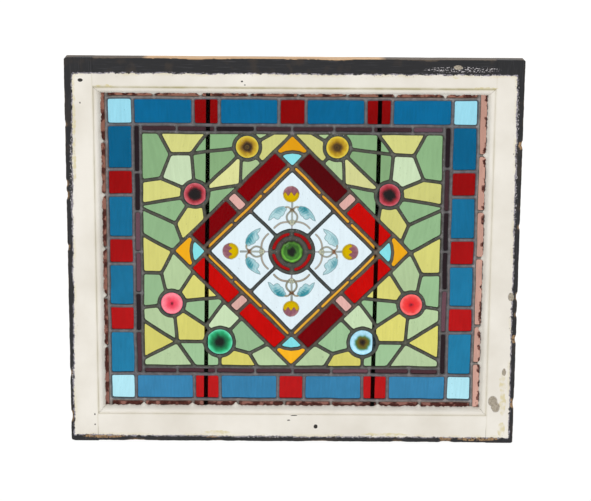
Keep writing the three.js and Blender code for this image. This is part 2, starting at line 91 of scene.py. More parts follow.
def shell(points, faces, **values):
    """One closed surface, turned so that its faces point outwards, with a value of each kind per point.

    The turn comes from the sign of the enclosed volume, the sum of all a . (b x c) over its triangles.
    """
    points = np.asarray(points, float)
    faces = [np.atleast_2d(face) for face in faces]
    middle = points.mean(0)
    volume = 0.0
    for face in faces:
        for k in range(1, face.shape[1] - 1):
            a, b, c = (points[face[:, i]] - middle for i in (0, k, k + 1))
            volume += (a * np.cross(b, c)).sum()
    if volume < 0:
        faces = [face[:, ::-1] for face in faces]
    spread = {}
    for key, value in values.items():
        value = np.asarray(value, float)
        per_point = value.ndim > 0 and len(value) == len(points)
        spread[key] = value if per_point else np.broadcast_to(value, (len(points), *value.shape))
    return {"points": points, "faces": faces, "values": spread}


KINDS = {1: ("FLOAT", "value"), 3: ("FLOAT_VECTOR", "vector"), 4: ("FLOAT_COLOR", "color")}


def build(name, shells, material, replaces=(), smooth=40):
    """Makes one object of several shells and fixes it to the frame. Sharper edges than smooth stay sharp."""
    starts = np.cumsum([0] + [len(part["points"]) for part in shells])
    corners, sizes = [], []
    for start, part in zip(starts, shells):
        for face in part["faces"]:
            corners.append(face.ravel() + start)
            sizes.append(np.full(len(face), face.shape[1]))
    corners, sizes = np.concatenate(corners), np.concatenate(sizes)
    mesh = bpy.data.meshes.new(name)
    mesh.vertices.add(starts[-1])
    mesh.vertices.foreach_set("co", np.concatenate([part["points"] for part in shells]).ravel() * MM)
    mesh.loops.add(len(corners))
    mesh.loops.foreach_set("vertex_index", corners)
    mesh.polygons.add(len(sizes))
    mesh.polygons.foreach_set("loop_start", np.cumsum(sizes) - sizes)
    mesh.update(calc_edges=True)
    mesh.shade_smooth()
    mesh.set_sharp_from_angle(angle=math.radians(smooth))
    for key in shells[0]["values"]:
        value = np.concatenate([part["values"][key] for part in shells])
        kind, field = KINDS[1 if value.ndim == 1 else value.shape[1]]
        attribute = mesh.attributes.new(key, kind, "POINT")
        attribute.data.foreach_set(field, value.ravel())
    thing = bpy.data.objects.new(name, mesh)
    bpy.context.scene.collection.objects.link(thing)
    mesh.materials.append(material)
    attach(thing, "root")
    if replaces:
        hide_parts(*replaces)
    return thing


def ripple(x, z, size, seed):
    """A smooth wandering value between about -1 and 1: the mean of six waves of length near size."""
    rng = np.random.default_rng(seed)
    turn, phase = rng.uniform(0, 2 * math.pi, (2, 6))
    pace = 2 * math.pi / (size * rng.uniform(0.7, 1.6, 6))
    along = np.multiply.outer(x, np.cos(turn)) + np.multiply.outer(z, np.sin(turn))
    return np.sin(along * pace + phase).mean(-1) * 1.8

# %% [markdown]
# ## Helpers for materials
#
# Colours are written as sRGB hex values, the way a colour chart gives them, and turned linear once.
# A pattern's size is given in millimetres on the object.

# %% Materials from nodes
def linear(chart, alpha=1.0):
    """An sRGB hex colour as linear red, green, blue and alpha."""
    rgb = np.array([int(chart[i:i + 2], 16) for i in (0, 2, 4)]) / 255
    return (*np.where(rgb <= 0.04045, rgb / 12.92, ((rgb + 0.055) / 1.055) ** 2.4), alpha)


def node(tree, kind, inputs=None, **settings):
    """Adds a node with its settings. An input is given a value, or a socket that is linked to it."""
    made = tree.nodes.new("ShaderNode" + kind)
    for name, value in settings.items():
        setattr(made, name, value)
    for name, value in (inputs or {}).items():
        if isinstance(value, bpy.types.NodeSocket):
            tree.links.new(value, made.inputs[name])
        else:
            made.inputs[name].default_value = value
    return made


def mixed(tree, factor, a, b, mode="MIX"):
    """The colour between a and b. In a Mix node the colour inputs are numbers 6 and 7."""
    return node(tree, "Mix", {0: factor, 6: a, 7: b}, data_type="RGBA", blend_type=mode).outputs[2]


def noise(tree, size, detail=2.0, stretch=(1, 1, 1), coords=None, offset=0.0):
    """Noise with lumps of the size given in mm, drawn out along an axis by stretch."""
    if coords is None:
        coords = node(tree, "TexCoord").outputs["Object"]
    scale = [1 / (size * MM * s) for s in stretch]
    place = node(tree, "Mapping", {"Vector": coords, "Scale": scale, "Location": (offset,) * 3})
    return node(tree, "TexNoise", {"Vector": place.outputs[0], "Scale": 1.0, "Detail": detail}).outputs["Fac"]


def span(tree, value, low, high, to_low=0.0, to_high=1.0):
    """Stretches the values between low and high to others, and clips them."""
    inputs = {"Value": value, 1: low, 2: high, 3: to_low, 4: to_high}
    return node(tree, "MapRange", inputs).outputs[0]


def maths(tree, operation, a, b=0.0):
    """One sum on two values."""
    return node(tree, "Math", {0: a, 1: b}, operation=operation).outputs[0]


def times(tree, a, b):
    """The product of two values, such as a mask and what thins it out."""
    return maths(tree, "MULTIPLY", a, b)


def rest(tree, share):
    """What is left of 1, so where a mask isn't."""
    return maths(tree, "SUBTRACT", 1.0, share)


def attribute(tree, name, output="Fac"):
    """A value that rides on the points of the mesh."""
    return node(tree, "Attribute", attribute_name=name).outputs[output]


def material(name, **sockets):
    """A new material with its plain values straight on the Principled shader's sockets."""
    made = bpy.data.materials.new(name)
    made.use_nodes = True
    shader = made.node_tree.nodes["Principled BSDF"]
    for key, value in sockets.items():
        shader.inputs[key.replace("_", " ")].default_value = value
    return made, made.node_tree, shader


def bump(tree, shader, height, depth, strength=1.0):
    """Lets a height between 0 and 1 stand up by depth mm."""
    made = node(tree, "Bump", {"Height": height, "Distance": depth * MM, "Strength": strength})
    tree.links.new(made.outputs[0], shader.inputs["Normal"])

# %% [markdown]
# ## Reading the outlines off the frame
#
# The lead lattice is one solid with a hole for each piece of glass. On its flat back those holes are
# loops of edges that only one triangle has. Walking the loops gives the outline that shows of each
# piece of glass. How wide the came beside each side is, is the way across to the next outline.

# %% Outlines of flat faces
def flat_outlines(name):
    """The outlines, anticlockwise and in mm, of a solid's flat back face, the one with the highest y."""
    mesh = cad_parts[name].data
    mesh.calc_loop_triangles()
    points = np.empty(len(mesh.vertices) * 3)
    mesh.vertices.foreach_get("co", points)
    points = np.round(points.reshape(-1, 3) / MM, 2)
    corners = np.empty(len(mesh.loop_triangles) * 3, int)
    mesh.loop_triangles.foreach_get("vertices", corners)
    points, same = np.unique(points, axis=0, return_inverse=True)
    corners = same.ravel()[corners].reshape(-1, 3)
    flat = corners[(points[corners, 1] > points[:, 1].max() - 0.02).all(1)]
    edges = {(int(t[i]), int(t[(i + 1) % 3])) for t in flat for i in range(3)}
    following = {a: b for a, b in edges if (b, a) not in edges}
    loops = []
    while following:
        start, at = next(iter(following.items()))
        del following[start]
        walk = [start]
        while at != start:
            walk.append(at)
            at = following.pop(at)
        loops.append(anticlockwise(corners_only(points[walk][:, [0, 2]])))
    return loops


def area(outline):
    """The enclosed area, above zero when the outline runs anticlockwise."""
    x, z = outline.T
    return (x * np.roll(z, -1) - z * np.roll(x, -1)).sum() / 2


def anticlockwise(outline):
    return outline if area(outline) > 0 else outline[::-1]


def corners_only(outline):
    """Drops the points where an outline runs straight on."""
    before = outline - np.roll(outline, 1, 0)
    after = np.roll(outline, -1, 0) - outline
    cross = before[:, 0] * after[:, 1] - before[:, 1] * after[:, 0]
    turn = np.abs(cross) / (np.linalg.norm(before, axis=1) * np.linalg.norm(after, axis=1))
    return outline[turn > 0.004]


def inside(point, outlines):
    """True if the point is inside an odd number of the outlines."""
    hits = 0
    for outline in outlines:
        (ax, az), (bx, bz) = outline.T, np.roll(outline, -1, 0).T
        crosses = (az > point[1]) != (bz > point[1])
        with np.errstate(divide="ignore", invalid="ignore"):
            at = (bx - ax) * (point[1] - az) / (bz - az) + ax
        hits += int((crosses & (point[0] < at)).sum())
    return hits % 2 == 1


def side_normals(outline):
    """The unit vector along each side, and the one that points out of the piece."""
    along = np.roll(outline, -1, 0) - outline
    along /= np.linalg.norm(along, axis=1)[:, None]
    return along, np.stack([along[:, 1], -along[:, 0]], 1)


sights = sorted(flat_outlines("came_lattice"), key=lambda o: -area(o))
rim, sights = sights[0], sights[1:]
print(len(sights), "pieces of glass show in the lattice")

# %% The width of the came beside every side
COMMON_CAME = 5.5
WIDEST_CAME = 8.6


def half_widths(outlines, around):
    """For each side, half the way straight out to the nearest parallel side of another outline."""
    every = outlines + [around]
    starts = np.concatenate(every)
    ends = np.concatenate([np.roll(o, -1, 0) for o in every])
    owner = np.concatenate([np.full(len(o), i) for i, o in enumerate(every)])
    run = ends - starts
    run_length = np.linalg.norm(run, axis=1)
    halves = []
    for i, outline in enumerate(outlines):
        along, out = side_normals(outline)
        length = np.linalg.norm(np.roll(outline, -1, 0) - outline, axis=1)
        best = np.full(len(outline), np.inf)
        for share in (0.15, 0.5, 0.85):
            at = outline + along * (length * share)[:, None]
            gap = starts[None] - at[:, None]
            cross = out[:, None, 0] * run[None, :, 1] - out[:, None, 1] * run[None, :, 0]
            with np.errstate(divide="ignore", invalid="ignore"):
                way = (gap[..., 0] * run[None, :, 1] - gap[..., 1] * run[None, :, 0]) / cross
                share_hit = (gap[..., 0] * out[:, None, 1] - gap[..., 1] * out[:, None, 0]) / cross
            parallel = np.abs(cross) > 0.999 * run_length[None]
            hit = parallel & (way > 0.5) & (share_hit >= 0) & (share_hit <= 1) & (owner[None] != i)
            best = np.minimum(best, np.where(hit, way, np.inf).min(1))
        halves.append(np.where(best < WIDEST_CAME, best, COMMON_CAME) / 2)
    return halves


def moved_out(outline, distances):
    """The outline with each side moved out by its own distance, its corners where the sides then meet."""
    along, out = side_normals(outline)
    level = (outline * out).sum(1) + distances
    last = np.roll(np.arange(len(outline)), 1)
    cross = out[last, 0] * out[:, 1] - out[last, 1] * out[:, 0]
    x = (level[last] * out[:, 1] - level * out[last, 1]) / cross
    z = (level * out[last, 0] - level[last] * out[:, 0]) / cross
    return np.stack([x, z], 1)


halves = half_widths(sights, rim)
centres = [moved_out(o, h) for o, h in zip(sights, halves)]
print("half widths found:", sorted({round(float(h), 1) for group in halves for h in group}))
shift = max(np.abs(c - o).max() for c, o in zip(centres, sights))
print("the furthest that a corner moves is", round(float(shift), 1), "mm")

# %% [markdown]
# ## Which solid each piece of glass belongs to
#
# In the frame, neighbouring pieces of one band are one sheet. Here each piece is cut on its own, and
# the pieces of a band make one object, which stands for that band's solid. The narrow fillets are
# made of several lengths of glass, so their long outlines are cut where a strip of lead crosses them.

# %% Pieces and the strips that cross the fillets
CROSS_CAME = 4.0
FILLET_JOINTS = {
    "outer_fillet_top": [-218, -145, -70, 6, 82, 157, 234],
    "outer_fillet_bottom": [-238, -160, -88, -13, 62, 137, 205],
    "outer_fillet_left": [-155, -75, 6, 92, 175],
    "outer_fillet_right": [-180, -118, -7, 68, 157],
    "inner_fillet_top": [-183, -123, -61, -3, 62.5, 123, 185],
    "inner_fillet_bottom": [-185, -123, -60, 0, 62, 123, 187],
    "inner_fillet_left": [-130, -67, 0, 65, 127],
    "inner_fillet_right": [-130, -60, 3, 67, 136],
}
low, high = (np.array(corner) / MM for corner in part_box("centre_jewel"))
CENTRE = (low + high)[[0, 2]] / 2
SASH_MIDDLE = 308.0


def cut_lengths(sight, centre, joints, axis):
    """A long rectangle cut across at the joints: pairs of the outline that shows and the came's middle."""
    lengths = []
    stops = [centre[:, axis].min(), *joints, centre[:, axis].max()]
    for i in range(len(stops) - 1):
        part = []
        for outline, gap in ((sight, CROSS_CAME / 2), (centre, 0.0)):
            part.append(outline.copy())
            first = outline[:, axis] < outline[:, axis].mean()
            if i > 0:
                part[-1][first, axis] = stops[i] + gap
            if i < len(joints):
                part[-1][~first, axis] = stops[i + 1] - gap
        lengths.append(part)
    return lengths


NOT_GLASS = ("stile", "rail", "came", "support", "glazing")
glass_nodes = [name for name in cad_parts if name.split("_")[0] not in NOT_GLASS]
node_outlines = {name: flat_outlines(name) for name in glass_nodes}
pieces = []
for sight, centre in zip(sights, centres):
    along, out = side_normals(sight)
    longest = np.linalg.norm(np.roll(sight, -1, 0) - sight, axis=1).argmax()
    within = (sight[longest] + sight[(longest + 1) % len(sight)]) / 2 - out[longest] * 1.5
    owner = next(name for name, outlines in node_outlines.items() if inside(within, outlines))
    parts = [[sight, centre]]
    if owner in FILLET_JOINTS:
        axis = 0 if owner.endswith(("top", "bottom")) else 1
        joints = np.array(FILLET_JOINTS[owner]) + (SASH_MIDDLE if axis else 0)
        parts = cut_lengths(sight, centre, joints, axis)
    for shown, middle in parts:
        pieces.append({"node": owner, "sight": shown, "centre": middle})
print(len(pieces), "pieces of glass in", len({p["node"] for p in pieces}), "bands")

# %% [markdown]
# ## A hand-made panel
#
# The frame's outlines are straight and its rounds have flat sides. Two small changes of place make
# the panel look bent up by hand: every point wanders by a fraction of a millimetre along a smooth
# field, the same for lead and glass, and round the rondels the polygons swell into circles.

# %% Wander and rounding
WANDER = 0.4
STEP = 9.0
CORNER_CUT = 2.2
SWELL_REACH = 5.0
JEWEL_REACH = 29.0
RING_REACH = 39.0
RONDEL_CAME = 8.5
ROUNDS = [(CENTRE, 12, 0.0, JEWEL_REACH), (CENTRE, 20, JEWEL_REACH, RING_REACH)]
for name in glass_nodes:
    if name.startswith("rondel"):
        low, high = (np.array(corner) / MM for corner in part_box(name))
        ROUNDS.append(((low + high)[[0, 2]] / 2, 12, 0.0, (high - low)[2] / 2 + RONDEL_CAME))


def by_hand(points):
    """Moves points in x and z: polygons round a rondel become circles, then all of it wanders a little.

    A polygon whose mean radius is 1 has the radius cos(half a slice) / cos(angle off the side's middle),
    times its corner's radius, so a point beside it is moved along its ray by the inverse of that.
    """
    x, z = points[:, 0].copy(), points[:, 2].copy()
    for middle, sides, near, far in ROUNDS:
        dx, dz = points[:, 0] - middle[0], points[:, 2] - middle[1]
        distance = np.hypot(dx, dz)
        half_slice = math.pi / sides
        corner = 2 / (1 + math.cos(half_slice))
        off_middle = np.arctan2(dx, dz) % (2 * half_slice) - half_slice
        swell = np.cos(off_middle) / (corner * math.cos(half_slice)) - 1
        swell *= np.clip((far + SWELL_REACH - distance) / SWELL_REACH, 0, 1) * (distance >= near)
        if far == JEWEL_REACH:
            swell *= distance < far
        x += dx * swell
        z += dz * swell
    moved = points.copy()
    moved[:, 0] = x + WANDER * (ripple(x, z, 45, 3) + 0.35 * ripple(x, z, 17, 4))
    moved[:, 2] = z + WANDER * (ripple(x, z, 45, 5) + 0.35 * ripple(x, z, 17, 6))
    return moved


def side_shares(length):
    """Points along a side, as shares of it: close together by its ends, about STEP apart between."""
    if length < 6 * CORNER_CUT:
        return np.arange(4) / 4
    near = CORNER_CUT * np.array([0.0, 0.5, 1.0]) / length
    last = 1 - near[2]
    between = np.linspace(near[2], last, max(2, round((last - near[2]) * length / STEP) + 1))[1:-1]
    return np.concatenate([near, between, [last, 1 - near[1]]])


def walk_round(piece):
    """Points round a piece: on the outline that shows, and beside them on the came's middle line.

    A sharp corner of the outline that shows is rounded: a point near it becomes the mean of itself and
    of the places that lie CORNER_CUT ahead of it and behind it.
    """
    sight, centre = piece["sight"], piece["centre"]
    along, _ = side_normals(sight)
    length = np.linalg.norm(np.roll(sight, -1, 0) - sight, axis=1)
    turn = np.arccos(np.clip((along * np.roll(along, 1, 0)).sum(1), -1, 1))
    sharp = np.clip((turn - 0.6) / 0.3, 0, 1)
    shares = [side_shares(side) for side in length]
    side = np.repeat(np.arange(len(sight)), [len(share) for share in shares])
    share = np.concatenate(shares)
    both = [o[side] + (np.roll(o, -1, 0)[side] - o[side]) * share[:, None] for o in (sight, centre)]
    start = np.cumsum(length) - length
    way, whole = start[side] + share * length[side], length.sum()
    stops, closed = np.append(start, whole), np.vstack([sight, sight[:1]])
    mean = both[0] / 3
    for step in (-CORNER_CUT, CORNER_CUT):
        at = (way + step) % whole
        mean += np.stack([np.interp(at, stops, closed[:, k]) for k in (0, 1)], 1) / 3
    weight = np.where(share < 0.5, sharp[side], sharp[(side + 1) % len(sight)])
    return both[0] + (mean - both[0]) * weight[:, None], both[1]


def ring(shown, middle, profile):
    """A closed band round a piece: each point of the profile is a share of the way out, and a depth."""
    rows = [np.insert(shown + (middle - shown) * share, 1, depth, axis=1) for share, depth in profile]
    return by_hand(np.concatenate(rows))

# %% [markdown]
# ## The lead cames
#
# A came is an H of soft lead: two flanges with a rounded face, and a heart between them that parts the
# pieces of glass. Each piece gets its own half of the cames all round it, a C-shaped band: its profile
# is carried round the piece, and the halves of two neighbours meet on the came's middle line.

# %% Lead and solder materials
def metal(name, rough, metallic):
    """Dull grey metal: the patina that rides on the points, mottled, with painted shade in the angle beside the
    glass and painted glints along the crown.
    """
    made, tree, shader = material(name, Metallic=metallic, IOR=1.5)
    crown = attribute(tree, "crown")
    grey = attribute(tree, "patina", "Color")
    mottle = span(tree, noise(tree, 7, 4), 0.3, 0.7, 0.78, 1.22)
    # Painted shade: the lead is darker where the crown is low, in the angle beside the glass.
    shade = times(tree, mottle, span(tree, crown, 0.15, 1, 0.3, 1.1))
    shade = node(tree, "CombineColor", {0: shade, 1: shade, 2: shade}).outputs[0]
    grey = mixed(tree, 1.0, grey, shade, "MULTIPLY")
    # Painted glints: pale specks along the crown, the high middle of the came.
    bright = times(tree, span(tree, noise(tree, 1.7, 3, offset=2.0), 0.62, 0.7), crown)
    bright = times(tree, bright, span(tree, noise(tree, 40, 2), 0.45, 0.6, 0.1, 0.8))
    tree.links.new(mixed(tree, bright, grey, linear("9a98a2")), shader.inputs["Base Color"])
    tree.links.new(span(tree, mottle, 0.78, 1.22, rough + 0.1, rough - 0.1), shader.inputs["Roughness"])
    bump(tree, shader, noise(tree, 2.5, 3), 0.15)
    return made


lead = metal("Lead came, milled and tarnished", 0.55, 0.4)
solder = metal("Tin and lead solder, dulled", 0.4, 0.6)

# %% Cames
FACE = [(0.0, 1.45), (0.02, 2.0), (0.22, 2.5), (0.58, 2.88), (1.05, 3.0)]
# The grey that the lead has taken on, by what it stands beside.
PATINA = {
    "painted": "383d3a", "rondel": "3c443f", "centre": "42433b", "field": "45463b", "diamond_red": "4e4139",
    "diamond_strip": "54463a", "point": "4e4b44", "inner": "565354", "border": "625f64", "corner": "596066",
    "outer": "7d756f",
}
HALF_CAME = [(s, -d) for s, d in FACE] + FACE[::-1] + [(0.66, 1.45), (0.66, -1.45)]
# How high each point of the profile stands on the face, 0 beside the glass and 1 on top: the lead paints shade
# where it is low and glints where it is high.
CROWN = [0, 0.2, 0.5, 0.9, 1, 1, 0.9, 0.5, 0.2, 0, 0, 0]
bands = []
for piece in pieces:
    piece["patina"] = linear(next(PATINA[kind] for kind in PATINA if piece["node"].startswith(kind)))
    shown, middle = walk_round(piece)
    piece["shown"], piece["middle"] = shown, middle
    points = ring(shown, middle, HALF_CAME)
    faces = grid_faces(len(HALF_CAME), len(shown), True, True)
    bands.append(shell(points, [faces], crown=np.repeat(CROWN, len(shown)), patina=piece["patina"]))
cames = build("cames", bands, lead, ["came_lattice"], smooth=35)
print("cames:", len(cames.data.polygons), "faces")

# %% [markdown]
# ## Solder at the joints
#
# Where cames meet, the ends are soldered on both faces. The solder runs out a little way along each
# came, so a joint's outline is a star with one arm for each came, and it stands up like a low drop.

# %% Joints
ARM_WIDTH = 0.5
DROP_RINGS = np.array([0.0, 0.3, 0.55, 0.78, 1.0])
DROP_SIDES = 20
JOINT_SPREAD = 2.2
SAME_ARM = 0.3


def find_joints(outlines):
    """Corners of several pieces that lie together, with the directions of the cames that leave them."""
    corners = np.concatenate(outlines)
    ahead = np.concatenate([side_normals(o)[0] for o in outlines])
    behind = -np.concatenate([np.roll(side_normals(o)[0], 1, 0) for o in outlines])
    near = np.linalg.norm(corners[:, None] - corners[None], axis=2) < JOINT_SPREAD
    group = np.arange(len(corners))
    for _ in range(6):
        group = np.where(near, group[None], len(corners)).min(1)
    joints = []
    for key in np.unique(group):
        mine = group == key
        angles = np.arctan2(*np.concatenate([ahead[mine], behind[mine]]).T[::-1])
        found = []
        for angle in np.sort(angles):
            if all(abs(math.remainder(angle - other, 2 * math.pi)) > SAME_ARM for other in found):
                found.append(angle)
        if len(found) > 2:
            joints.append((corners[mine].mean(0), found))
    return joints


def drop(middle, edge, height, patina):
    """Two low drops, one on each face. edge is the reach of the outline at each of its angles."""
    angle = np.arange(DROP_SIDES) * 2 * math.pi / DROP_SIDES
    x = middle[0] + np.multiply.outer(DROP_RINGS, edge * np.cos(angle))
    z = middle[1] + np.multiply.outer(DROP_RINGS, edge * np.sin(angle))
    rise = 3.0 + height * (1 - DROP_RINGS ** 2) - 1.0 * DROP_RINGS ** 6
    both = []
    for side in (-1, 1):
        y = np.repeat(side * rise, DROP_SIDES)
        points = by_hand(np.stack([x.ravel(), y, z.ravel()], 1))
        under = points[-DROP_SIDES:] * [1, 0, 1] + [0, side * 1.7, 0]
        points = np.concatenate([points[DROP_SIDES - 1:], under])
        faces = grid_faces(len(DROP_RINGS), DROP_SIDES, False, True) + 1
        first = 1 + np.arange(DROP_SIDES)
        tip = np.stack([np.zeros(DROP_SIDES, int), np.roll(first, -1), first], 1)
        # The foot of each drop gets a low crown, so the metal paints shade where the drop meets the came.
        crown = np.ones(len(points))
        crown[-2 * DROP_SIDES:] = 0.35
        both.append(shell(points, [faces, tip, first + (len(DROP_RINGS) - 1) * DROP_SIDES],
                          crown=crown, patina=patina))
    return both


rng = np.random.default_rng(12)
drops = []
joints = find_joints([p["centre"] for p in pieces])
greys = np.array([piece["patina"] for piece in pieces])
places = np.array([piece["sight"].mean(0) for piece in pieces])
angle = np.arange(DROP_SIDES) * 2 * math.pi / DROP_SIDES
for middle, arms in joints:
    apart = np.abs((angle[:, None] - np.array(arms) + math.pi) % (2 * math.pi) - math.pi)
    reach, height = rng.uniform(1.6, 3.4), rng.uniform(0.3, 0.7)
    edge = 2.5 + reach * np.exp(-((apart / ARM_WIDTH) ** 2)).max(1) * rng.uniform(0.75, 1.2, DROP_SIDES)
    nearest = np.linalg.norm(places - middle, axis=1).argsort()[:4]
    drops += drop(middle, edge, height, greys[nearest].mean(0) * rng.uniform(1.05, 1.5))
# Lead worked down between the ring of each top rondel and the straight came above it.
pad = 1 / np.hypot(np.cos(angle) / 12, np.sin(angle) / 3)
for name in ("rondel_amber_left", "rondel_amber_right"):
    low, high = (np.array(corner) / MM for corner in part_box(name))
    drops += drop(((low[0] + high[0]) / 2, high[2] + 3.4), pad, 0.1, np.array(linear("4a4a44")))
build("solder_joints", drops, solder, smooth=60)
print(len(joints), "soldered joints")

# %% [markdown]
# ## Coloured glass
#
# Each piece was cut from a sheet of its own: rolled cathedral glass with faint streaks along the way
# that it was rolled. A piece's colour is a little off its neighbours', and the lower rows are painted paler,
# as painted light, where more light comes up from the floor. Colour and streak direction ride on the points, so a
# whole band shares one material. The glass is see-through, by the Transmission value on the shader.

# %% The colours of the sheets, at the top and at the bottom of the window
SHEETS = {
    "cobalt": ("03618e", "3a80aa"),
    "deep cobalt": ("00527a", "2880a8"),
    "ruby": ("7e0506", "b81b1d"),
    "deep ruby": ("800207", "6e050b"),
    "dark ruby": ("52060b", "52060b"),
    "bright ruby": ("bb0b05", "bd0b0a"),
    "ice": ("94d2e4", "b0e2ee"),
    "dim amethyst": ("3d2b30", "4e3238"),
    "light amethyst": ("5e4550", "6b4a52"),
    "black amethyst": ("241b20", "2c2225"),
    "pink amethyst": ("8d6152", "8a5f55"),
    "rosy amethyst": ("b98f80", "c79c8e"),
    "sage": ("7fa576", "9dc096"),
    "deep sage": ("7ea374", "92b286"),
    "pale sage": ("a3bd89", "b8cfa4"),
    "celadon": ("c3d6b3", "c2d9b0"),
    "straw": ("cacc84", "d6ce66"),
    "pale straw": ("d1d499", "d6d37c"),
    "amber": ("df9a10", "f8b828"),
    "amber strip": ("dc9a30", "eeb43a"),
    "sky": ("88d8e0", "80e2e8"),
    "rose": ("cf9f97", "e2b2a9"),
    "opal": ("d9e8ef", "e2f0f6"),
}
# Half of the crazed field, by a point in each piece from the panel's middle. The left is the mirror image.
FIELD = {
    "sage": [
        (216, 152), (108, 174), (195, 71), (124, 78), (204, 31), (217, -68), (144, -90), (138, -169), (79, -142),
    ],
    "deep sage": [(122, 137)],
    "pale sage": [(66, 140), (49, 185), (186, -44), (208, -108), (40, -174), (203, -176)],
    "celadon": [(174, 126), (112, -117)],
    "straw": [
        (173, 173), (40, 167), (200, 97), (158, 46), (217, -11), (158, -66), (158, -124), (219, -146), (90, -175),
    ],
    "pale straw": [(108, 119)],
}
# The lengths of the inner fillet in their order, from the left or from the bottom.
DIM, LIGHT, BLACK = "dim amethyst", "light amethyst", "black amethyst"
INNER_FILLET = {
    "top": [DIM, DIM, BLACK, DIM, DIM, DIM, DIM, LIGHT], "bottom": [DIM, DIM, DIM, DIM, DIM, LIGHT, DIM, DIM],
    "left": [DIM, BLACK, LIGHT, LIGHT, BLACK, BLACK], "right": [BLACK, LIGHT, BLACK, BLACK, DIM, BLACK],
}
FIELD_SEEDS = [(x, z, sheet) for sheet, spots in FIELD.items() for x, z in spots]
PANEL_HEIGHT = 515.0
ROSE_REACH = 12


def sheet_of(piece, order):
    """The sheet that a piece was cut from. order counts the pieces of its band, in the order they lie."""
    name = piece["node"]
    x, z = piece["sight"].mean(0) - CENTRE
    if name.startswith("border"):
        upright = name.endswith(("left", "right"))
        return "ruby" if order % 2 else "deep cobalt" if upright else "cobalt"
    if name.startswith("field"):
        return min(FIELD_SEEDS, key=lambda seed: math.hypot(abs(x) - seed[0], z - seed[1]))[2]
    if name.startswith("diamond_red"):
        if abs(abs(x) - abs(z)) < ROSE_REACH:
            return "rose"
        if z > 0:
            return "deep ruby" if x < 0 else "dark ruby" if z > x else "bright ruby"
        return "deep ruby" if x > 0 and z < -x else "bright ruby"
    if name.startswith("inner_fillet"):
        return INNER_FILLET[name.split("_")[-1]][order]
    kinds = {
        "outer_fillet_right": "rosy amethyst", "outer_fillet": "pink amethyst", "corner_square": "ice",
        "diamond_strip": "amber strip", "centre_ring": "ruby", "point_amber": "amber", "point_blue": "sky",
    }
    return next(sheet for start, sheet in kinds.items() if name.startswith(start))


def tint(sheet, z, rng, spread=0.06):
    """The linear colour of a sheet at a height, painted paler lower down as painted light from the floor, and a
    little lighter or darker by chance.
    """
    share = np.clip((z - CENTRE[1]) / PANEL_HEIGHT + 0.5, 0, 1)
    top, bottom = (np.array(linear(chart)) for chart in SHEETS[sheet])
    colour = bottom + (top - bottom) * share
    colour[:3] *= 1 + rng.uniform(-spread, spread)
    return colour

# %% Glass material
def glass(name, roughness, streak, depth, lump=14, bedded=False):
    """Rolled glass: its tint, streaked along the sheet, and a face that is never quite flat.

    A bedded sheet lies in old putty: beside the sash it is painted dark brown in ragged patches, painted shade
    where the putty and the sash's rebate behind it keep the light out.
    """
    made, tree, shader = material(
        name, Transmission_Weight=1.0, IOR=1.5, Specular_Tint=(0.05, 0.05, 0.05, 1), Roughness=roughness
    )
    sheet = attribute(tree, "sheet", "Vector")
    streaks = noise(tree, lump, 5, (0.3, 1, 2.5), sheet)
    cloud = noise(tree, 4 * lump, 2, (1, 1, 1), sheet)
    seeds = span(tree, noise(tree, 1.6, 0, (1, 1, 2.5), sheet), 0.78, 0.86)
    shade = span(tree, streaks, 0.25, 0.75, 1 - streak, 1 + streak)
    shade = times(tree, shade, span(tree, cloud, 0.3, 0.7, 1 - streak / 2, 1 + streak / 2))
    shade = maths(tree, "SUBTRACT", shade, times(tree, seeds, 0.35))
    combined = node(tree, "CombineColor", {0: shade, 1: shade, 2: shade}).outputs[0]
    colour = mixed(tree, 1.0, attribute(tree, "tint", "Color"), combined, "MULTIPLY")
    if bedded:
        # Painted shade: ragged dark brown beside the sash, where putty behind the glass keeps the light out.
        ragged = span(tree, noise(tree, 14, 5, (1, 1, 1)), 0.36, 0.62, -6.0, 7.0)
        reach = maths(tree, "ADD", ragged, attribute(tree, "putty"))
        dark = span(tree, maths(tree, "SUBTRACT", attribute(tree, "bed"), reach), -0.5, 0.5, 1, 0)
        putty_shade_brown = mixed(tree, span(tree, noise(tree, 4, 4), 0.35, 0.65), linear("3a1f1b"), linear("57312a"))
        colour = mixed(tree, dark, colour, putty_shade_brown)
    tree.links.new(colour, shader.inputs["Base Color"])
    bump(tree, shader, maths(tree, "ADD", streaks, seeds), depth)
    return made


cathedral = glass("Cathedral glass, rolled", 0.06, 0.06, 0.10)
flashed = glass("Flashed glass, blown and flattened", 0.04, 0.10, 0.06, 9)
opalescent = glass("Opalescent glass, cast", 0.3, 0.06, 0.08, 18)
puttied = glass("Amethyst glass, bedded in old putty", 0.08, 0.12, 0.08, 8, bedded=True)
GLASS_KINDS = {
    "border": (flashed, "cobalt_glass"), "field": (cathedral, "sage_glass"),
    "corner_square": (cathedral, "ice_blue_glass"), "outer_fillet": (puttied, "amethyst_glass"),
    "inner_fillet": (cathedral, "amethyst_glass"), "diamond_red": (flashed, "ruby_glass"),
    "diamond_strip": (opalescent, "amber_glass"), "centre_ring": (flashed, "ruby_glass"),
    "point_amber": (opalescent, "amber_glass"), "point_blue": (cathedral, "sky_glass"),
}
UNDER_CAME = 0.5
GLASS_HALF = 1.4
# Where the sash's opening lies, and how far on average the painted shade of the putty reaches in from it on each
# side.
OPENING = {"left": -302.0, "right": 302.0, "top": 561.5, "bottom": 54.5}
PUTTY_SHADE_REACH = {"left": 5.5, "right": 0.0, "top": 3.0, "bottom": 7.0}
FAR_FROM_SASH = 50.0


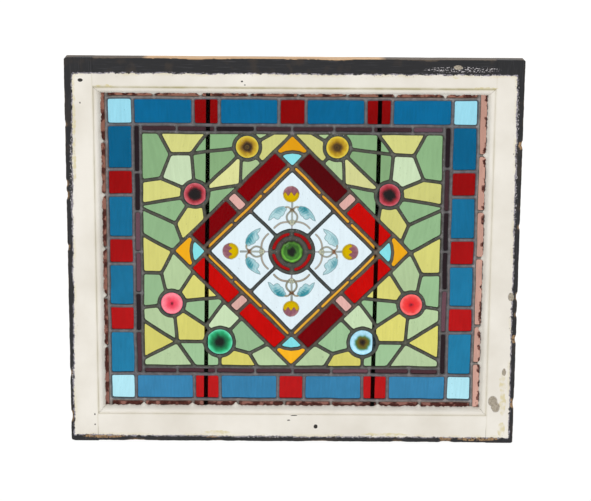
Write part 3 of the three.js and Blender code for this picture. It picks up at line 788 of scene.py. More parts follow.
def pane(piece, colour, rng):
    """A flat piece of glass that runs under the cames: two outlines joined by a rim."""
    outline = piece["shown"] + (piece["middle"] - piece["shown"]) * UNDER_CAME
    front = np.insert(outline, 1, -GLASS_HALF, axis=1)
    back = np.insert(outline, 1, GLASS_HALF, axis=1)
    points = by_hand(np.concatenate([front, back]))
    count = len(outline)
    lean = rng.normal(0, 0.12)
    turn = np.array([[math.cos(lean), 0, -math.sin(lean)], [0, 1, 0], [math.sin(lean), 0, math.cos(lean)]])
    sheet = points * MM @ turn + rng.uniform(0, 3, 3)
    rim = np.arange(count)
    edge = piece["node"].split("_")[-1]
    way = 0 if edge in ("left", "right") else 2
    bed = np.abs(points[:, way] - OPENING[edge]) if edge in OPENING else FAR_FROM_SASH
    faces = [grid_faces(2, count, False, True), rim[::-1], rim + count]
    return shell(points, faces, tint=colour, sheet=sheet, bed=bed, putty=PUTTY_SHADE_REACH.get(edge, 0.0))


rng = np.random.default_rng(7)
for name in glass_nodes:
    kind = next((k for k in GLASS_KINDS if name.startswith(k)), None)
    if kind is None:
        continue
    mine = [piece for piece in pieces if piece["node"] == name]
    across = [1, 0] if name.endswith(("top", "bottom")) else [0, 1]
    mine.sort(key=lambda piece: piece["sight"].mean(0) @ across)
    panes = []
    for order, piece in enumerate(mine):
        height = piece["sight"][:, 1].mean()
        panes.append(pane(piece, tint(sheet_of(piece, order), height, rng), rng))
    finish, slot = GLASS_KINDS[kind]
    build(name + "_panes", panes, finish, [name], smooth=30)
print("flat glass is in")

# %% [markdown]
# ## Pressed rondels and the jewel
#
# The round pieces were pressed in a mould: flat behind, swelling in front, with a dimple in the middle.
# The thick middle swallows light, so each goes from a bright rim to a dark heart. The shape is a
# profile turned about its axis, and the colours are rings that blend into each other along the radius.

# %% Rondels
ROUND_TURNS = 64
ROUND_STEPS = np.array([
    0, 0.06, 0.13, 0.2, 0.27, 0.34, 0.41, 0.48, 0.55, 0.62, 0.69, 0.76, 0.83, 0.9, 0.95, 1.0,
])
# For each round: its slot and how far it swells, then a colour at each share of its radius.
ROUND_GLASS = {
    "rondel_amber_left": ("honey_rondel", 2.2, [
        (0, "22150a"), (0.14, "5f4a1c"), (0.22, "2a1a0a"), (0.34, "33200b"),
        (0.46, "6a4a12"), (0.62, "ac8a1a"), (0.8, "caa92c"), (1, "d8c94e"),
    ]),
    "rondel_amber_right": ("honey_rondel", 2.2, [
        (0, "2c1a08"), (0.12, "5a4010"), (0.24, "30200a"), (0.42, "6e4c0a"),
        (0.6, "aa8610"), (0.78, "c9a422"), (0.9, "dcc544"), (1, "d0b83a"),
    ]),
    "rondel_red_left": ("rose_rondel", 2.2, [(0, "0c0607"), (0.42, "12080a"), (0.53, "3a0e14"),
                        (0.66, "a02a34"), (0.78, "b84450"), (0.9, "c05660"), (1, "c87078")]),
    "rondel_red_right": ("rose_rondel", 2.2, [(0, "090506"), (0.4, "0e0607"), (0.52, "421016"),
                         (0.7, "a02732"), (0.88, "b84452"), (1, "c26a74")]),
    "rondel_pink": ("pink_rondel", 2.2, [(0, "4a0a18"), (0.1, "8e1428"), (0.2, "e43856"), (0.4, "ee4c62"),
                    (0.6, "f86c80"), (0.85, "fa8c9a"), (1, "f27488")]),
    "rondel_coral": ("coral_rondel", 2.2, [(0, "4a0812"), (0.1, "a01226"), (0.22, "de2028"), (0.4, "e62c2c"),
                     (0.65, "ee3c3c"), (0.88, "f86c6a"), (1, "f0706c")]),
    "rondel_green": ("sea_green_rondel", 2.2, [(0, "030c07"), (0.26, "03140b"), (0.4, "05402a"),
                     (0.58, "0b7a48"), (0.76, "22a56c"), (0.9, "4ccf9c"), (1, "7ae0bc")]),
    "rondel_pale_blue": ("pale_blue_rondel", 2.2, [(0, "120c05"), (0.16, "2a1a08"), (0.3, "5c4a10"),
                         (0.42, "66600f"), (0.52, "4c6a2a"), (0.58, "6aa8a0"), (0.66, "a8def6"),
                         (0.86, "b8e8fa"), (1, "8fd0e6")]),
    "centre_jewel": ("green_jewel", 4.0, [(0, "080c06"), (0.28, "0b1408"), (0.38, "1a3c10"), (0.46, "3f7a26"),
                     (0.54, "356c20"), (0.66, "2f6a1a"), (0.78, "66aa3c"), (0.88, "4c8a26"), (0.95, "263c14"),
                     (1, "2c3418")]),
}
# Painted light: how much brighter each round is painted low down than high up, where it gathers light from below.
PAINTED_LIGHT_FROM_BELOW = {"centre_jewel": 0.55, "rondel_pale_blue": 0.1}
RONDEL_LIP = 1.4

pressed, tree, shader = material(
    "Pressed glass, moulded",
    Transmission_Weight=1.0, IOR=1.5, Specular_Tint=(0.4, 0.4, 0.4, 1), Roughness=0.05,
)
haze = span(tree, noise(tree, 6, 4), 0.3, 0.7, 0.88, 1.12)
haze = node(tree, "CombineColor", {0: haze, 1: haze, 2: haze}).outputs[0]
colour = mixed(tree, 1.0, attribute(tree, "tint", "Color"), haze, "MULTIPLY")
tree.links.new(colour, shader.inputs["Base Color"])
bump(tree, shader, noise(tree, 5, 2), 0.08)


def swelling(share):
    """How far the front stands out, as a share: 1 at half the radius, 0.7 in the dimple, 0 at the rim."""
    dimple = 0.85 - 0.15 * np.cos(2 * math.pi * share)
    shoulder = 0.5 - 0.5 * np.cos(2 * math.pi * share)
    return np.where(share < 0.5, dimple, shoulder)


def turned(middle, reach, depth):
    """A profile turned about the Y axis through middle. Its two ends lie on the axis, one point each."""
    turn = np.arange(ROUND_TURNS) * 2 * math.pi / ROUND_TURNS
    x = middle[0] + np.multiply.outer(reach, np.sin(turn))
    z = middle[2] + np.multiply.outer(reach, np.cos(turn))
    points = np.stack([x.ravel(), np.repeat(depth, ROUND_TURNS), z.ravel()], 1)
    points = points[ROUND_TURNS - 1:len(points) - ROUND_TURNS + 1]
    rows = len(reach) - 2
    first = 1 + np.arange(ROUND_TURNS)
    start = np.stack([np.zeros(ROUND_TURNS, int), np.roll(first, -1), first], 1)
    last = first + (rows - 1) * ROUND_TURNS
    end = np.stack([np.full(ROUND_TURNS, len(points) - 1), last, np.roll(last, -1)], 1)
    return points, [grid_faces(rows, ROUND_TURNS, False, True) + 1, start, end]


for name, (slot, rise, rings) in ROUND_GLASS.items():
    low, high = (np.array(corner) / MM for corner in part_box(name))
    middle, radius = (low + high) / 2, (high - low)[2] / 2
    reach = ROUND_STEPS * (radius + RONDEL_LIP)
    share = np.minimum(reach / radius, 1.0)
    front = -GLASS_HALF - rise * swelling(share)
    back = np.full(len(reach), GLASS_HALF)
    points, faces = turned(middle, np.append(reach, reach[::-1]), np.append(front, back))
    away = np.hypot(points[:, 0] - middle[0], points[:, 2] - middle[2]) / radius
    away = np.clip(away + 0.05 * ripple(points[:, 0], points[:, 2], 9, 21), 0, 1)
    shares, charts = zip(*rings)
    colours = np.array([linear(chart) for chart in charts])
    tints = np.stack([np.interp(away, shares, colours[:, k]) for k in range(4)], 1)
    lower = (middle[2] - points[:, 2]) / radius
    # Painted light: the lower part of each round is made brighter.
    tints[:, :3] *= np.clip(1 + PAINTED_LIGHT_FROM_BELOW.get(name, 0.0) * lower, 0.2, 1.8)[:, None]
    rondel = shell(by_hand(points), faces, tint=tints)
    build(name + "_pressed", [rondel], pressed, [name], smooth=50)
print(len(ROUND_GLASS), "rounds of pressed glass")

# %% [markdown]
# ## The painted panes
#
# Four pale panes round the jewel carry a fired enamel painting: a bud on a stem with two leaves, above
# scrolls. The painting is colour only, so it is worked out on a fine grid of points: each stroke is
# the distance to a curve, and each area the distance inside an outline. The grid fans out from the
# corner where the pane's two inner sides would meet, between the ring and the diamond's side.

# %% Brush strokes as distances
def bezier(start, pull, end, count=24):
    """A curve from start to end that leans towards pull: the quadratic Bezier."""
    t = np.linspace(0, 1, count)[:, None]
    return (1 - t) ** 2 * np.array(start) + 2 * t * (1 - t) * np.array(pull) + t ** 2 * np.array(end)


def along_path(spots, path):
    """For each spot its distance from a path, on which side it lies, and how far along it is."""
    a, run = path[:-1], np.diff(path, axis=0)
    gap = spots[:, None] - a[None]
    share = np.clip((gap * run).sum(2) / (run ** 2).sum(1), 0, 1)
    away = np.linalg.norm(gap - share[..., None] * run, axis=2)
    nearest = away.argmin(1)
    row = np.arange(len(spots))
    side = np.sign(run[nearest, 0] * gap[row, nearest, 1] - run[nearest, 1] * gap[row, nearest, 0])
    return away[row, nearest], side, (nearest + share[row, nearest]) / len(run)


SOFT_EDGE = 0.5


def cover(distance):
    """1 inside a shape, where the distance is below zero, fading to 0 across its soft edge."""
    return np.clip(0.5 - distance / SOFT_EDGE, 0, 1)


def from_outline(spots, outline):
    """For each spot its distance from a closed outline, below zero inside it."""
    a, b = outline, np.roll(outline, -1, 0)
    gap, run = spots[:, None] - a, b - a
    share = np.clip((gap * run).sum(2) / (run ** 2).sum(1), 0, 1)
    away = np.linalg.norm(gap - share[..., None] * run, axis=2).min(1)
    level = (a[:, 1] > spots[:, None, 1]) != (b[:, 1] > spots[:, None, 1])
    at = a[:, 0] + gap[..., 1] * run[:, 0] / np.where(run[:, 1] == 0, 1, run[:, 1])
    inside_it = (level & (spots[:, None, 0] < at)).sum(1) % 2 == 1
    return np.where(inside_it, -away, away)


def laid_over(colours, chart, amount):
    """The colours with one more laid over them, as thickly as amount says."""
    return colours + (np.array(linear(chart)) - colours) * amount[:, None]

# %% The motif, u to the side and v away from the jewel, in mm
# Each stroke: where it starts, what pulls it, where it ends, its width, its edge and its body.
STROKES = [
    ((0, 81), (0, 75), (0, 66), 3.2, "5f6360", "a2aaa4"),
    ((0.5, 64), (3, 73), (10, 71.8), 2.8, "72644a", "b9ae90"),
    ((0.5, 66), (14, 57.5), (4, 46), 3.1, "626152", "a5a391"),
    ((0, 65), (0, 56), (0, 47), 3.0, "757a6e", "b6bdb2"),
    ((7, 47.8), (19.5, 48), (28, 37.8), 3.1, "6e6656", "b4a998"),
    ((0, 42.5), (0, 39), (0, 34), 2.4, "7a747c", "bcb6bc"),
]
TEAR = np.array([(-6.5, 49), (0, 51.5), (6.5, 49), (3.4, 44.5), (0, 41), (-3.4, 44.5)])
KNOT = [((-4.5, 63.5), (-1, 68), (4.5, 70.5)), ((4, 63.5), (2, 67), (-3.5, 69.5))]
# The leaf: its smooth outer edge from stalk to tip, then back along its lobed inner edge.
LEAF = np.array([
    (8.5, 71.5), (14, 73.2), (20, 72.4), (26, 69.2), (31, 63.6), (35, 57), (37.2, 50),
    (33, 51), (30.5, 53.4), (28, 55), (25.6, 52.6), (22, 51.6), (19, 53.4), (17, 56.6),
    (14.4, 57.6), (12.2, 60.6), (11.4, 64), (9.2, 67),
])
LEAF_RIB = bezier((8.5, 71), (24, 69), (36.5, 51))
BUD_RADIUS = 12.8


def painting(spots, opal, hand):
    """The colours of a pane at its spots: the bare opal glass with the bud, the leaves and the scrolls.

    hand says how this pane was painted: where its bud sits, and how deep its leaves and its ink are.
    The scrolls and leaves are the same on both sides of the middle, but one leaf can be paler.
    """
    u, v = spots.T
    folded = np.stack([np.abs(u), v], 1)
    colours = np.broadcast_to(opal, (len(spots), 4)).copy()
    wash = 0.5 + 0.5 * ripple(u, v, 9, hand["seed"])
    depth = hand["leaf"] * np.where(u < 0, hand["other leaf"], 1.0)
    edge = from_outline(folded, LEAF)
    leaf = cover(edge)
    away, side, along = along_path(folded, LEAF_RIB)
    colours = laid_over(colours, "b5d5d9", leaf * 0.95)
    heart = np.exp(-(((along - 0.35) / 0.28) ** 2) - (away / 5.5) ** 2)
    light = np.clip(0.35 + 0.9 * heart + 0.4 * (wash - 0.5), 0, 1)
    colours = laid_over(colours, "55a5b2", leaf * light * depth)
    deep = np.clip(1.5 * heart - 0.35 + 0.5 * (wash - 0.5), 0, 1)
    colours = laid_over(colours, "2a8592", leaf * deep * depth)
    veins = np.abs(((along * 7 + away * 0.12) % 1) - 0.5) * 5 - 0.45
    colours = laid_over(colours, "d3e5e5", leaf * cover(veins) * (side < 0) * 0.5)
    colours = laid_over(colours, "5f8a92", leaf * cover(away - 0.3) * 0.6)
    colours = laid_over(colours, "6c8388", cover(np.abs(edge) - 0.45) * 0.85)
    ink = hand["ink"]
    tear = from_outline(spots, TEAR)
    colours = laid_over(colours, "b9ba9c", cover(tear) * 0.9)
    colours = laid_over(colours, "7c7a62", cover(np.abs(tear) - 0.5) * 0.8 * ink)
    for start, pull, end, width, line, body in STROKES:
        away, side, along = along_path(folded, bezier(start, pull, end))
        colours = laid_over(colours, line, cover(away - width / 2) * ink)
        colours = laid_over(colours, body, cover(away - width / 2 + 0.85) * (0.65 + 0.35 * wash))
    knot = np.hypot(u / 1.5, v - 67) - 2.7
    colours = laid_over(colours, hand["knot"], cover(knot) * 0.8)
    for start, pull, end in KNOT:
        away, side, along = along_path(spots, bezier(start, pull, end))
        colours = laid_over(colours, "4f3a26", cover(away - 0.55) * ink)
    rise = v - hand["bud"]
    from_bud = np.hypot(u - hand["bud aside"], rise)
    bud = cover(from_bud - BUD_RADIUS)
    colours = laid_over(colours, "d0ae00", bud)
    colours = laid_over(colours, "9c8408", bud * np.clip((from_bud - 7.5) / 7, 0, 1) * 0.8)
    scallop = 0.8 + 2.6 * np.cos(2 * math.pi * (u - hand["bud aside"]) / 9.6) - rise
    petals = bud * cover(scallop)
    colours = laid_over(colours, "92626c", petals)
    streak = 0.5 + 0.5 * np.sin(np.arctan2(u, rise + 14) * 22 + 2 * wash)
    colours = laid_over(colours, "7d4658", petals * streak * 0.6)
    colours = laid_over(colours, "bd8f94", petals * np.clip((from_bud - 8) / 5, 0, 1) * (u < 0) * 0.5)
    colours = laid_over(colours, "5a2c30", bud * cover(np.abs(scallop) - 0.5) * 0.75)
    colours = laid_over(colours, "6f6038", cover(np.abs(from_bud - BUD_RADIUS) - 0.25) * 0.55)
    return colours

# %% The panes
enamelled = glass("Opal glass with fired enamel", 0.12, 0.04, 0.08, 18)
ACROSS, OUTWARDS = 140, 110
# How each pane was painted: where its bud sits, and how deep its leaves and its ink are.
TRAITS = ("bud", "bud aside", "leaf", "other leaf", "ink", "knot", "seed")
HANDS = {
    "top": (92.5, -1.5, 0.9, 0.45, 0.8, "86775a", 31),
    "right": (92.5, 0.0, 0.55, 0.5, 0.8, "96603c", 32),
    "bottom": (93.0, 0.8, 1.0, 1.0, 1.0, "7a4e2e", 33),
    "left": (97.0, 0.5, 0.95, 0.95, 0.85, "8c5a3a", 34),
}
ringed = {"top": (0, 1), "right": (1, 0), "bottom": (0, -1), "left": (-1, 0)}
UNDER = 1.5
rng = np.random.default_rng(5)
for where, (sx, sz) in ringed.items():
    name = "painted_pane_" + where
    sight = np.abs(next(piece["sight"] for piece in pieces if piece["node"] == name) - CENTRE)
    ring_edge, out = np.hypot(*sight.T).min() - UNDER, sight.sum(1).max() + UNDER * math.sqrt(2)
    apex = (COMMON_CAME / 2 - UNDER) * math.sqrt(2)
    angle, share = np.meshgrid(np.linspace(-1, 1, ACROSS) * math.pi / 4, np.linspace(0, 1, OUTWARDS))
    near = np.sqrt(ring_edge ** 2 - (apex * np.sin(angle)) ** 2) - apex * np.cos(angle)
    far = (out - apex) / (np.abs(np.sin(angle)) + np.cos(angle))
    away = near + (far - near) * share
    u, v = (away * np.sin(angle)).ravel(), (apex + away * np.cos(angle)).ravel()
    x, z = CENTRE[0] + u * sz + v * sx, CENTRE[1] - u * sx + v * sz
    face = np.stack([x, np.full(len(x), -GLASS_HALF), z], 1)
    points = by_hand(np.concatenate([face, face + [0, 2 * GLASS_HALF, 0]]))
    front = grid_faces(OUTWARDS, ACROSS)
    index = np.arange(OUTWARDS * ACROSS).reshape(OUTWARDS, ACROSS)
    edge = np.concatenate([index[0, :-1], index[:-1, -1], index[-1, :0:-1], index[:0:-1, 0]])
    rim = np.stack([np.roll(edge, -1), edge, edge + len(x), np.roll(edge, -1) + len(x)], 1)
    hand = dict(zip(TRAITS, HANDS[where]))
    colours = painting(np.stack([u, v], 1), tint("opal", z.mean(), rng, 0.01), hand)
    made = shell(points, [front, front[:, ::-1] + len(x), rim], tint=np.tile(colours, (2, 1)),
                 sheet=points * MM + rng.uniform(0, 3, 3))
    build(name + "_enamelled", [made], enamelled, [name], smooth=30)
print("four painted panes")

# %% [markdown]
# ## The sash
#
# Two stiles run the full height and two rails stand between them. All four are one profile, planed in
# pine: a flat face, a quirk and a quarter round that is mitred in the corners, and a rebate behind for
# the panel. The profile is carried along each member. Its outer arris is worn, and a few knocks have
# broken it. The white paint stops in a ragged line where a stop bead once covered the edges.

# %% The members of the sash
(left, front_y, bottom), (right, back_y, top) = (np.array(corner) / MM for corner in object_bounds())
STILE_FLAT, RAIL_FLAT = 44.0, 45.0
MOULDING = {"width": 9.5, "quirk": 2.0, "ledge": 1.2, "arris": 2.7}
SEAT = -3.3
END_GAP = 0.3
PITCH = 3.0
ARRIS_ROUND = 1.4
WORN_CORNER = {"stile_left": 5.0, "stile_right": 3.0}
# Knocks on the outer arris: where along the member from its middle, half how long, how deep.
KNOCKS = {
    "stile_left": [(112, 5, 1.5), (93, 6, 1.9), (10, 5, 1.7), (-196, 6, 1.2), (-267, 8, 2.2), (205, 4, 1.0)],
    "stile_right": [
        (177, 5, 1.8), (47, 4, 1.2), (-66, 6, 2.3), (-95, 4, 1.6), (-135, 5, 1.9), (-241, 7, 1.7),
    ],
    "rail_top": [(-150, 16, 0.5), (60, 25, 0.5), (210, 12, 0.6)],
    "rail_bottom": [(-250, 16, 0.8), (-120, 12, 0.7), (40, 20, 0.6), (170, 10, 0.9), (247, 9, 1.4)],
}
# How far from each outer edge the paint starts: at that edge's lower or left end, and at its other end.
BARE_EDGE = {"left": (6.0, 13.5), "right": (7.5, 12.5), "top": (24.5, 24.5), "bottom": (10.0, 9.0)}
# How dark the quirk is painted on each member: the dirt that it holds, and painted shade in the groove.
QUIRK_DIRT_AND_SHADE = {"stile_left": 0.35, "stile_right": 0.3, "rail_top": 1.0, "rail_bottom": 0.2}


def stretch_between(start, end, pitch):
    """Points from start towards end, without end itself, about a pitch apart."""
    start, end = np.array(start, float), np.array(end, float)
    count = max(1, round(np.linalg.norm(end - start) / pitch))
    return start + (end - start) * (np.arange(count) / count)[:, None]


def member_profile(flat):
    """A member's section as a closed loop: how far in from the outer edge, and the depth.

    Also says which points belong to the moulding, and which lie on the face that the viewer sees.
    """
    edge = flat + MOULDING["width"]
    low, high = SEAT - MOULDING["arris"], front_y + MOULDING["quirk"]
    ledge = flat + MOULDING["ledge"]
    turn, quarter = np.linspace(0, math.pi / 2, 4), np.linspace(0, math.pi / 2, 9)
    arris = np.stack([ARRIS_ROUND * (1 - np.cos(turn)), front_y + ARRIS_ROUND * (1 - np.sin(turn))], 1)
    round_over = np.stack([ledge + (edge - ledge) * np.sin(quarter), low - (low - high) * np.cos(quarter)], 1)
    outer = np.concatenate([stretch_between((0, back_y), arris[0], 5), arris])
    flat_face = stretch_between((ARRIS_ROUND + 1.5, front_y), (flat, front_y), 2.5)
    face = np.concatenate([flat_face, [(flat, front_y)]])
    moulding = np.concatenate([[(flat, high)], round_over, [(edge, SEAT), (flat, SEAT)]])
    back = stretch_between((flat, back_y), (0, back_y), 8)
    parts = [outer, face, moulding, back]
    place = np.repeat(np.arange(4), [len(part) for part in parts])
    return np.concatenate(parts), place == 2, (place == 1) | (place == 2)


def worn(name, along):
    """How far the outer arris is worn back: a little everywhere, and more, with steep ends, at each knock."""
    depth = 0.3 + 0.2 * ripple(along, along * 0, 40, 50 + len(name)) + 0.15 * ripple(along, along * 0, 8, 8)
    for at, half, deep in KNOCKS[name]:
        depth = depth + deep * np.exp(-(np.abs((along - at) / half) ** 4))
    return np.maximum(depth, 0)


def member(name, flat, length, mitre):
    """The shell of one member. length is half its own length, mitre half the opening at the flat's edge."""
    profile, moulding, shown = member_profile(flat)
    inward, depth = profile.T
    ends = np.where(moulding, mitre - (inward - flat) - 0.2, length)
    if length < mitre:
        ends = np.where(shown & ~moulding & (inward > BARE_EDGE["top"][0]), mitre - 0.03, ends)
    tip = np.array([0, 1, 2, 3, 4.5]) / length
    share = np.unique(np.concatenate([np.linspace(-1, 1, round(2 * length / PITCH)), 1 - tip, tip - 1]))
    along = np.multiply.outer(share, ends)
    inward, depth = (np.broadcast_to(v, along.shape).copy() for v in (inward, depth))
    wear = worn(name, along)
    broken = np.clip((wear - 0.9) / 0.6, 0, 1) * np.clip(1 - inward / 5, 0, 1)
    wear = wear * np.clip(1 - inward / 8, 0, 1)
    corner = WORN_CORNER.get(name, 0)
    if corner:
        over = np.clip(np.abs(along) - (length - corner), 0, corner)
        wear = np.maximum(wear, corner - np.sqrt(corner ** 2 - over ** 2) - inward)
    depth = depth + np.where(depth < front_y + 3, 0.6 * wear, 0)
    inward = inward + wear * np.clip((back_y - depth) / (back_y - front_y), 0.3, 1)
    depth += np.where(shown, 0.12 * ripple(along, inward * 2, 30, 9), 0)
    u, y, w = inward.ravel(), np.maximum(depth.ravel(), front_y), along.ravel()
    middle_x, middle_z = (left + right) / 2, (bottom + top) / 2
    places = {
        "stile_left": (left + u, middle_z + w), "stile_right": (right - u, middle_z + w),
        "rail_top": (middle_x + w, top - u), "rail_bottom": (middle_x + w, bottom + u),
    }
    x, z = places[name]
    index, count = np.arange(len(profile)), len(profile)
    first, last = np.flatnonzero(moulding)[[0, -1]]
    caps = [index[~moulding], index[moulding], np.array([first - 1, first, last, last + 1])]
    faces = [grid_faces(len(share), count, False, True)]
    faces += [cap[::-1] for cap in caps] + [cap + (len(share) - 1) * count for cap in caps]
    across, up = (x - left) / (right - left), (z - bottom) / (top - bottom)
    start = {}
    for edge, (near, far) in BARE_EDGE.items():
        start[edge] = near + (far - near) * (up if edge in ("left", "right") else across)
    reaches = [x - left - start["left"], right - x - start["right"],
               top - z - start["top"], z - bottom - start["bottom"]]
    shown = np.tile(shown, len(share))
    on_face = shown | ((y < front_y + 0.4) & (u < 6))
    return shell(
        np.stack([x, y, z], 1), faces,
        paint=np.where(on_face, np.min(reaches, 0), -40.0), face=on_face.astype(float),
        quirk=np.exp(-(((u - flat - 0.6) / 1.8) ** 2)) * shown * QUIRK_DIRT_AND_SHADE[name],
        broken=broken.ravel(), grain=np.stack([w, u, y], 1) * MM + len(name),
    )

# %% [markdown]
# ### The sash's finish
#
# Under the white is an older, almost black coat, and under that is pine. What shows where comes from
# how far a point lies inside the painted face, made ragged by noise, and from a list of single marks.

# %% Marks, each an oval: across, up, and its two half sizes in mm
HOLES = [
    (37.6, 25.5, 3.2, 3.6), (-330, 581, 4.2, 2.8), (-80.8, 580.4, 1.7, 1.3), (-76.2, 575, 1.2, 1.0),
    (2.7, 43.9, 5.5, 0.7), (-6, 36, 2.5, 0.8), (-317, 44, 1.2, 1.4), (-317, 27, 1.0, 1.2), (-331, 546, 1.0, 1.4),
]
BARE_SPOTS = [
    (321, 70, 7.5, 9), (326, 60, 7, 9), (337.7, 118.6, 3, 6), (344.8, 241.8, 5, 7), (252, 604, 7, 3.5),
]
STAINS = [
    (337, 66, 5, 20), (336, 100, 5, 18), (248.7, 589.5, 6, 3), (-342, 530, 3.5, 55), (-342, 455, 3, 40),
    (336, 22, 6, 12), (-291, 572, 16, 2), (292, 571.5, 22, 2.2), (150, 13, 40, 2), (-120, 15, 22, 3),
]
FLECKS = [
    (-344.5, 412, 5, 95), (344, 520, 4, 72), (345.5, 400, 3.5, 80), (345, 170, 4, 75), (20, 9.5, 270, 3),
    (258, 600.5, 60, 4.5), (-349, 112, 4, 12),
]
RAW_WOOD = [
    (247.8, 8, 12, 4), (300, 6.5, 34, 3.5), (-130, 9, 16, 3), (-303, 8, 34, 3.5), (352, 67, 4, 8),
    (352, 484, 4, 7), (352, 173, 4, 7),
]


def marks(tree, places, wobble=3.0):
    """1 inside any of the ovals, whose outlines noise makes ragged."""
    coords = node(tree, "TexCoord").outputs["Object"]
    shaken = node(tree, "TexNoise", {"Vector": coords, "Scale": 1 / (5 * MM), "Detail": 4.0}).outputs["Color"]
    shaken = node(tree, "VectorMath", {0: shaken, 1: (0.5, 0.5, 0.5)}, operation="SUBTRACT").outputs[0]
    shaken = node(tree, "VectorMath", {0: shaken, "Scale": wobble * MM}, operation="SCALE").outputs[0]
    coords = node(tree, "VectorMath", {0: coords, 1: shaken}, operation="ADD").outputs[0]
    least = None
    for x, z, wide, high in places:
        off = node(tree, "VectorMath", {0: coords, 1: (x * MM, 0, z * MM)}, operation="SUBTRACT").outputs[0]
        inverse = (1 / (wide * MM), 0, 1 / (high * MM))
        off = node(tree, "VectorMath", {0: off, 1: inverse}, operation="MULTIPLY").outputs[0]
        away = node(tree, "VectorMath", {0: off}, operation="LENGTH").outputs["Value"]
        least = away if least is None else maths(tree, "MINIMUM", least, away)
    return span(tree, least, 0.9, 1.05, 1, 0)


# %% Old oil paint on pine
def scatter(tree, size, low, high, stretch=(1, 1, 1), coords=None, offset=0.0):
    """Separate specks or scratches: where fine noise rises above low."""
    return span(tree, noise(tree, size, 4, stretch, coords, offset), low, high)


sash_finish, tree, shader = material("Oil paint, brushed and flaking, on pine", IOR=1.5)
grain = attribute(tree, "grain", "Vector")
face = attribute(tree, "face")
fibres = noise(tree, 1.4, 4, (40, 1, 1), grain)
place = node(tree, "SeparateXYZ", {0: node(tree, "TexCoord").outputs["Object"]})

# Pine: weathered nearly everywhere, freshly planed along most of the top.
weathered = mixed(tree, span(tree, fibres, 0.3, 0.7), linear("2f2822"), linear("6a5947"))
planed = mixed(tree, span(tree, fibres, 0.3, 0.7), linear("b58c62"), linear("dcb98e"))
planed = mixed(tree, scatter(tree, 7, 0.55, 0.7, (12, 1, 1), grain), planed, linear("94704e"))
across = place.outputs["X"]
stretch = times(tree, span(tree, across, -0.236, -0.226), span(tree, across, 0.142, 0.130))
on_top = times(tree, span(tree, place.outputs["Z"], 0.6135, 0.6145), stretch)
wood = mixed(tree, times(tree, on_top, rest(tree, face)), weathered, planed)
raw = mixed(tree, fibres, linear("5a4028"), linear("b9966a"))

# The old black coat, scratched along the grain and worn through in places.
black = mixed(tree, scatter(tree, 1.2, 0.56, 0.72, (30, 1, 1), grain), linear("101014"), linear("333236"))
black = mixed(tree, scatter(tree, 26, 0.55, 0.7, offset=3.0), black, linear("2a221c"))
under = mixed(tree, face, wood, black)
through = maths(tree, "MAXIMUM", attribute(tree, "broken"), marks(tree, RAW_WOOD))
through = times(tree, through, scatter(tree, 3, 0.4, 0.5))
under = mixed(tree, through, under, raw)
flecks = times(tree, marks(tree, FLECKS), scatter(tree, 1.6, 0.55, 0.6, (2, 1, 1), grain))
under = mixed(tree, flecks, under, linear("bdb8ba"))

# The white coat: where it reaches, its broken rim, and its stains.
fine = times(tree, noise(tree, 2.6, 5), 5.0)
broad = times(tree, noise(tree, 20, 2), 5.0)
ragged = maths(tree, "ADD", attribute(tree, "paint"), maths(tree, "ADD", fine, broad))
edge = maths(tree, "SUBTRACT", ragged, 5.0)
rim = times(tree, span(tree, edge, -1.9, -1.5), scatter(tree, 9, 0.42, 0.5))
under = mixed(tree, times(tree, rim, face), under, linear("8f8a92"))
bare = marks(tree, BARE_SPOTS)
holes = marks(tree, HOLES, 1.5)
white_mask = times(tree, span(tree, edge, -0.25, 0.25), rest(tree, bare))
white_mask = times(tree, white_mask, rest(tree, holes))
chips = times(tree, scatter(tree, 3.5, 0.66, 0.7), span(tree, edge, 7, 1))
white_mask = times(tree, white_mask, rest(tree, chips))
white = mixed(tree, span(tree, noise(tree, 70, 3), 0.35, 0.7), linear("e6e1d7"), linear("d9d3c7"))
yellowed = times(tree, scatter(tree, 24, 0.46, 0.6), span(tree, edge, 5, 0, 0, 0.55))
old_stains = times(tree, marks(tree, STAINS, 6), scatter(tree, 8, 0.35, 0.6))
yellowed = maths(tree, "MAXIMUM", yellowed, old_stains)
white = mixed(tree, times(tree, yellowed, 0.7), white, linear("cdbf86"))
# Dirt and painted shade in the quirk: strong along the top rail, faint elsewhere.
quirk_dirt_and_shade = span(tree, noise(tree, 30, 4), 0.35, 0.62, 0.35, 0.9)
quirk = times(tree, attribute(tree, "quirk"), quirk_dirt_and_shade)
white = mixed(tree, quirk, white, linear("a59b62"))
stone = mixed(tree, scatter(tree, 0.9, 0.4, 0.6), linear("7d7364"), linear("b7ad9b"))
under = mixed(tree, bare, under, stone)
under = mixed(tree, holes, under, linear("1c1710"))
tree.links.new(mixed(tree, white_mask, under, white), shader.inputs["Base Color"])
tree.links.new(span(tree, white_mask, 0, 1, 0.72, 0.45), shader.inputs["Roughness"])
brushed = times(tree, noise(tree, 1.8, 3, (25, 1, 1), grain), 0.25)
bump(tree, shader, maths(tree, "ADD", white_mask, brushed), 0.35)

# %% Stiles and rails
half_height, half_width = (top - bottom) / 2, (right - left) / 2
opening = {"stile": half_height - RAIL_FLAT, "rail": half_width - STILE_FLAT}
for name in ("stile_left", "stile_right", "rail_top", "rail_bottom"):
    kind = name.split("_")[0]
    flat, length = (STILE_FLAT, half_height) if kind == "stile" else (RAIL_FLAT, opening["rail"] - END_GAP)
    shape = member(name, flat, length, opening[kind])
    build(name + "_painted", [shape], sash_finish, [name], 40)
print("the sash has four painted members")

# %% [markdown]
# ### The painted lip
#
# Where the moulding meets the glass, paint and putty have been dabbed over the angle. The lip slopes
# from the moulding down to the glass, its edge is ragged, and it runs out over the lead at the joints.

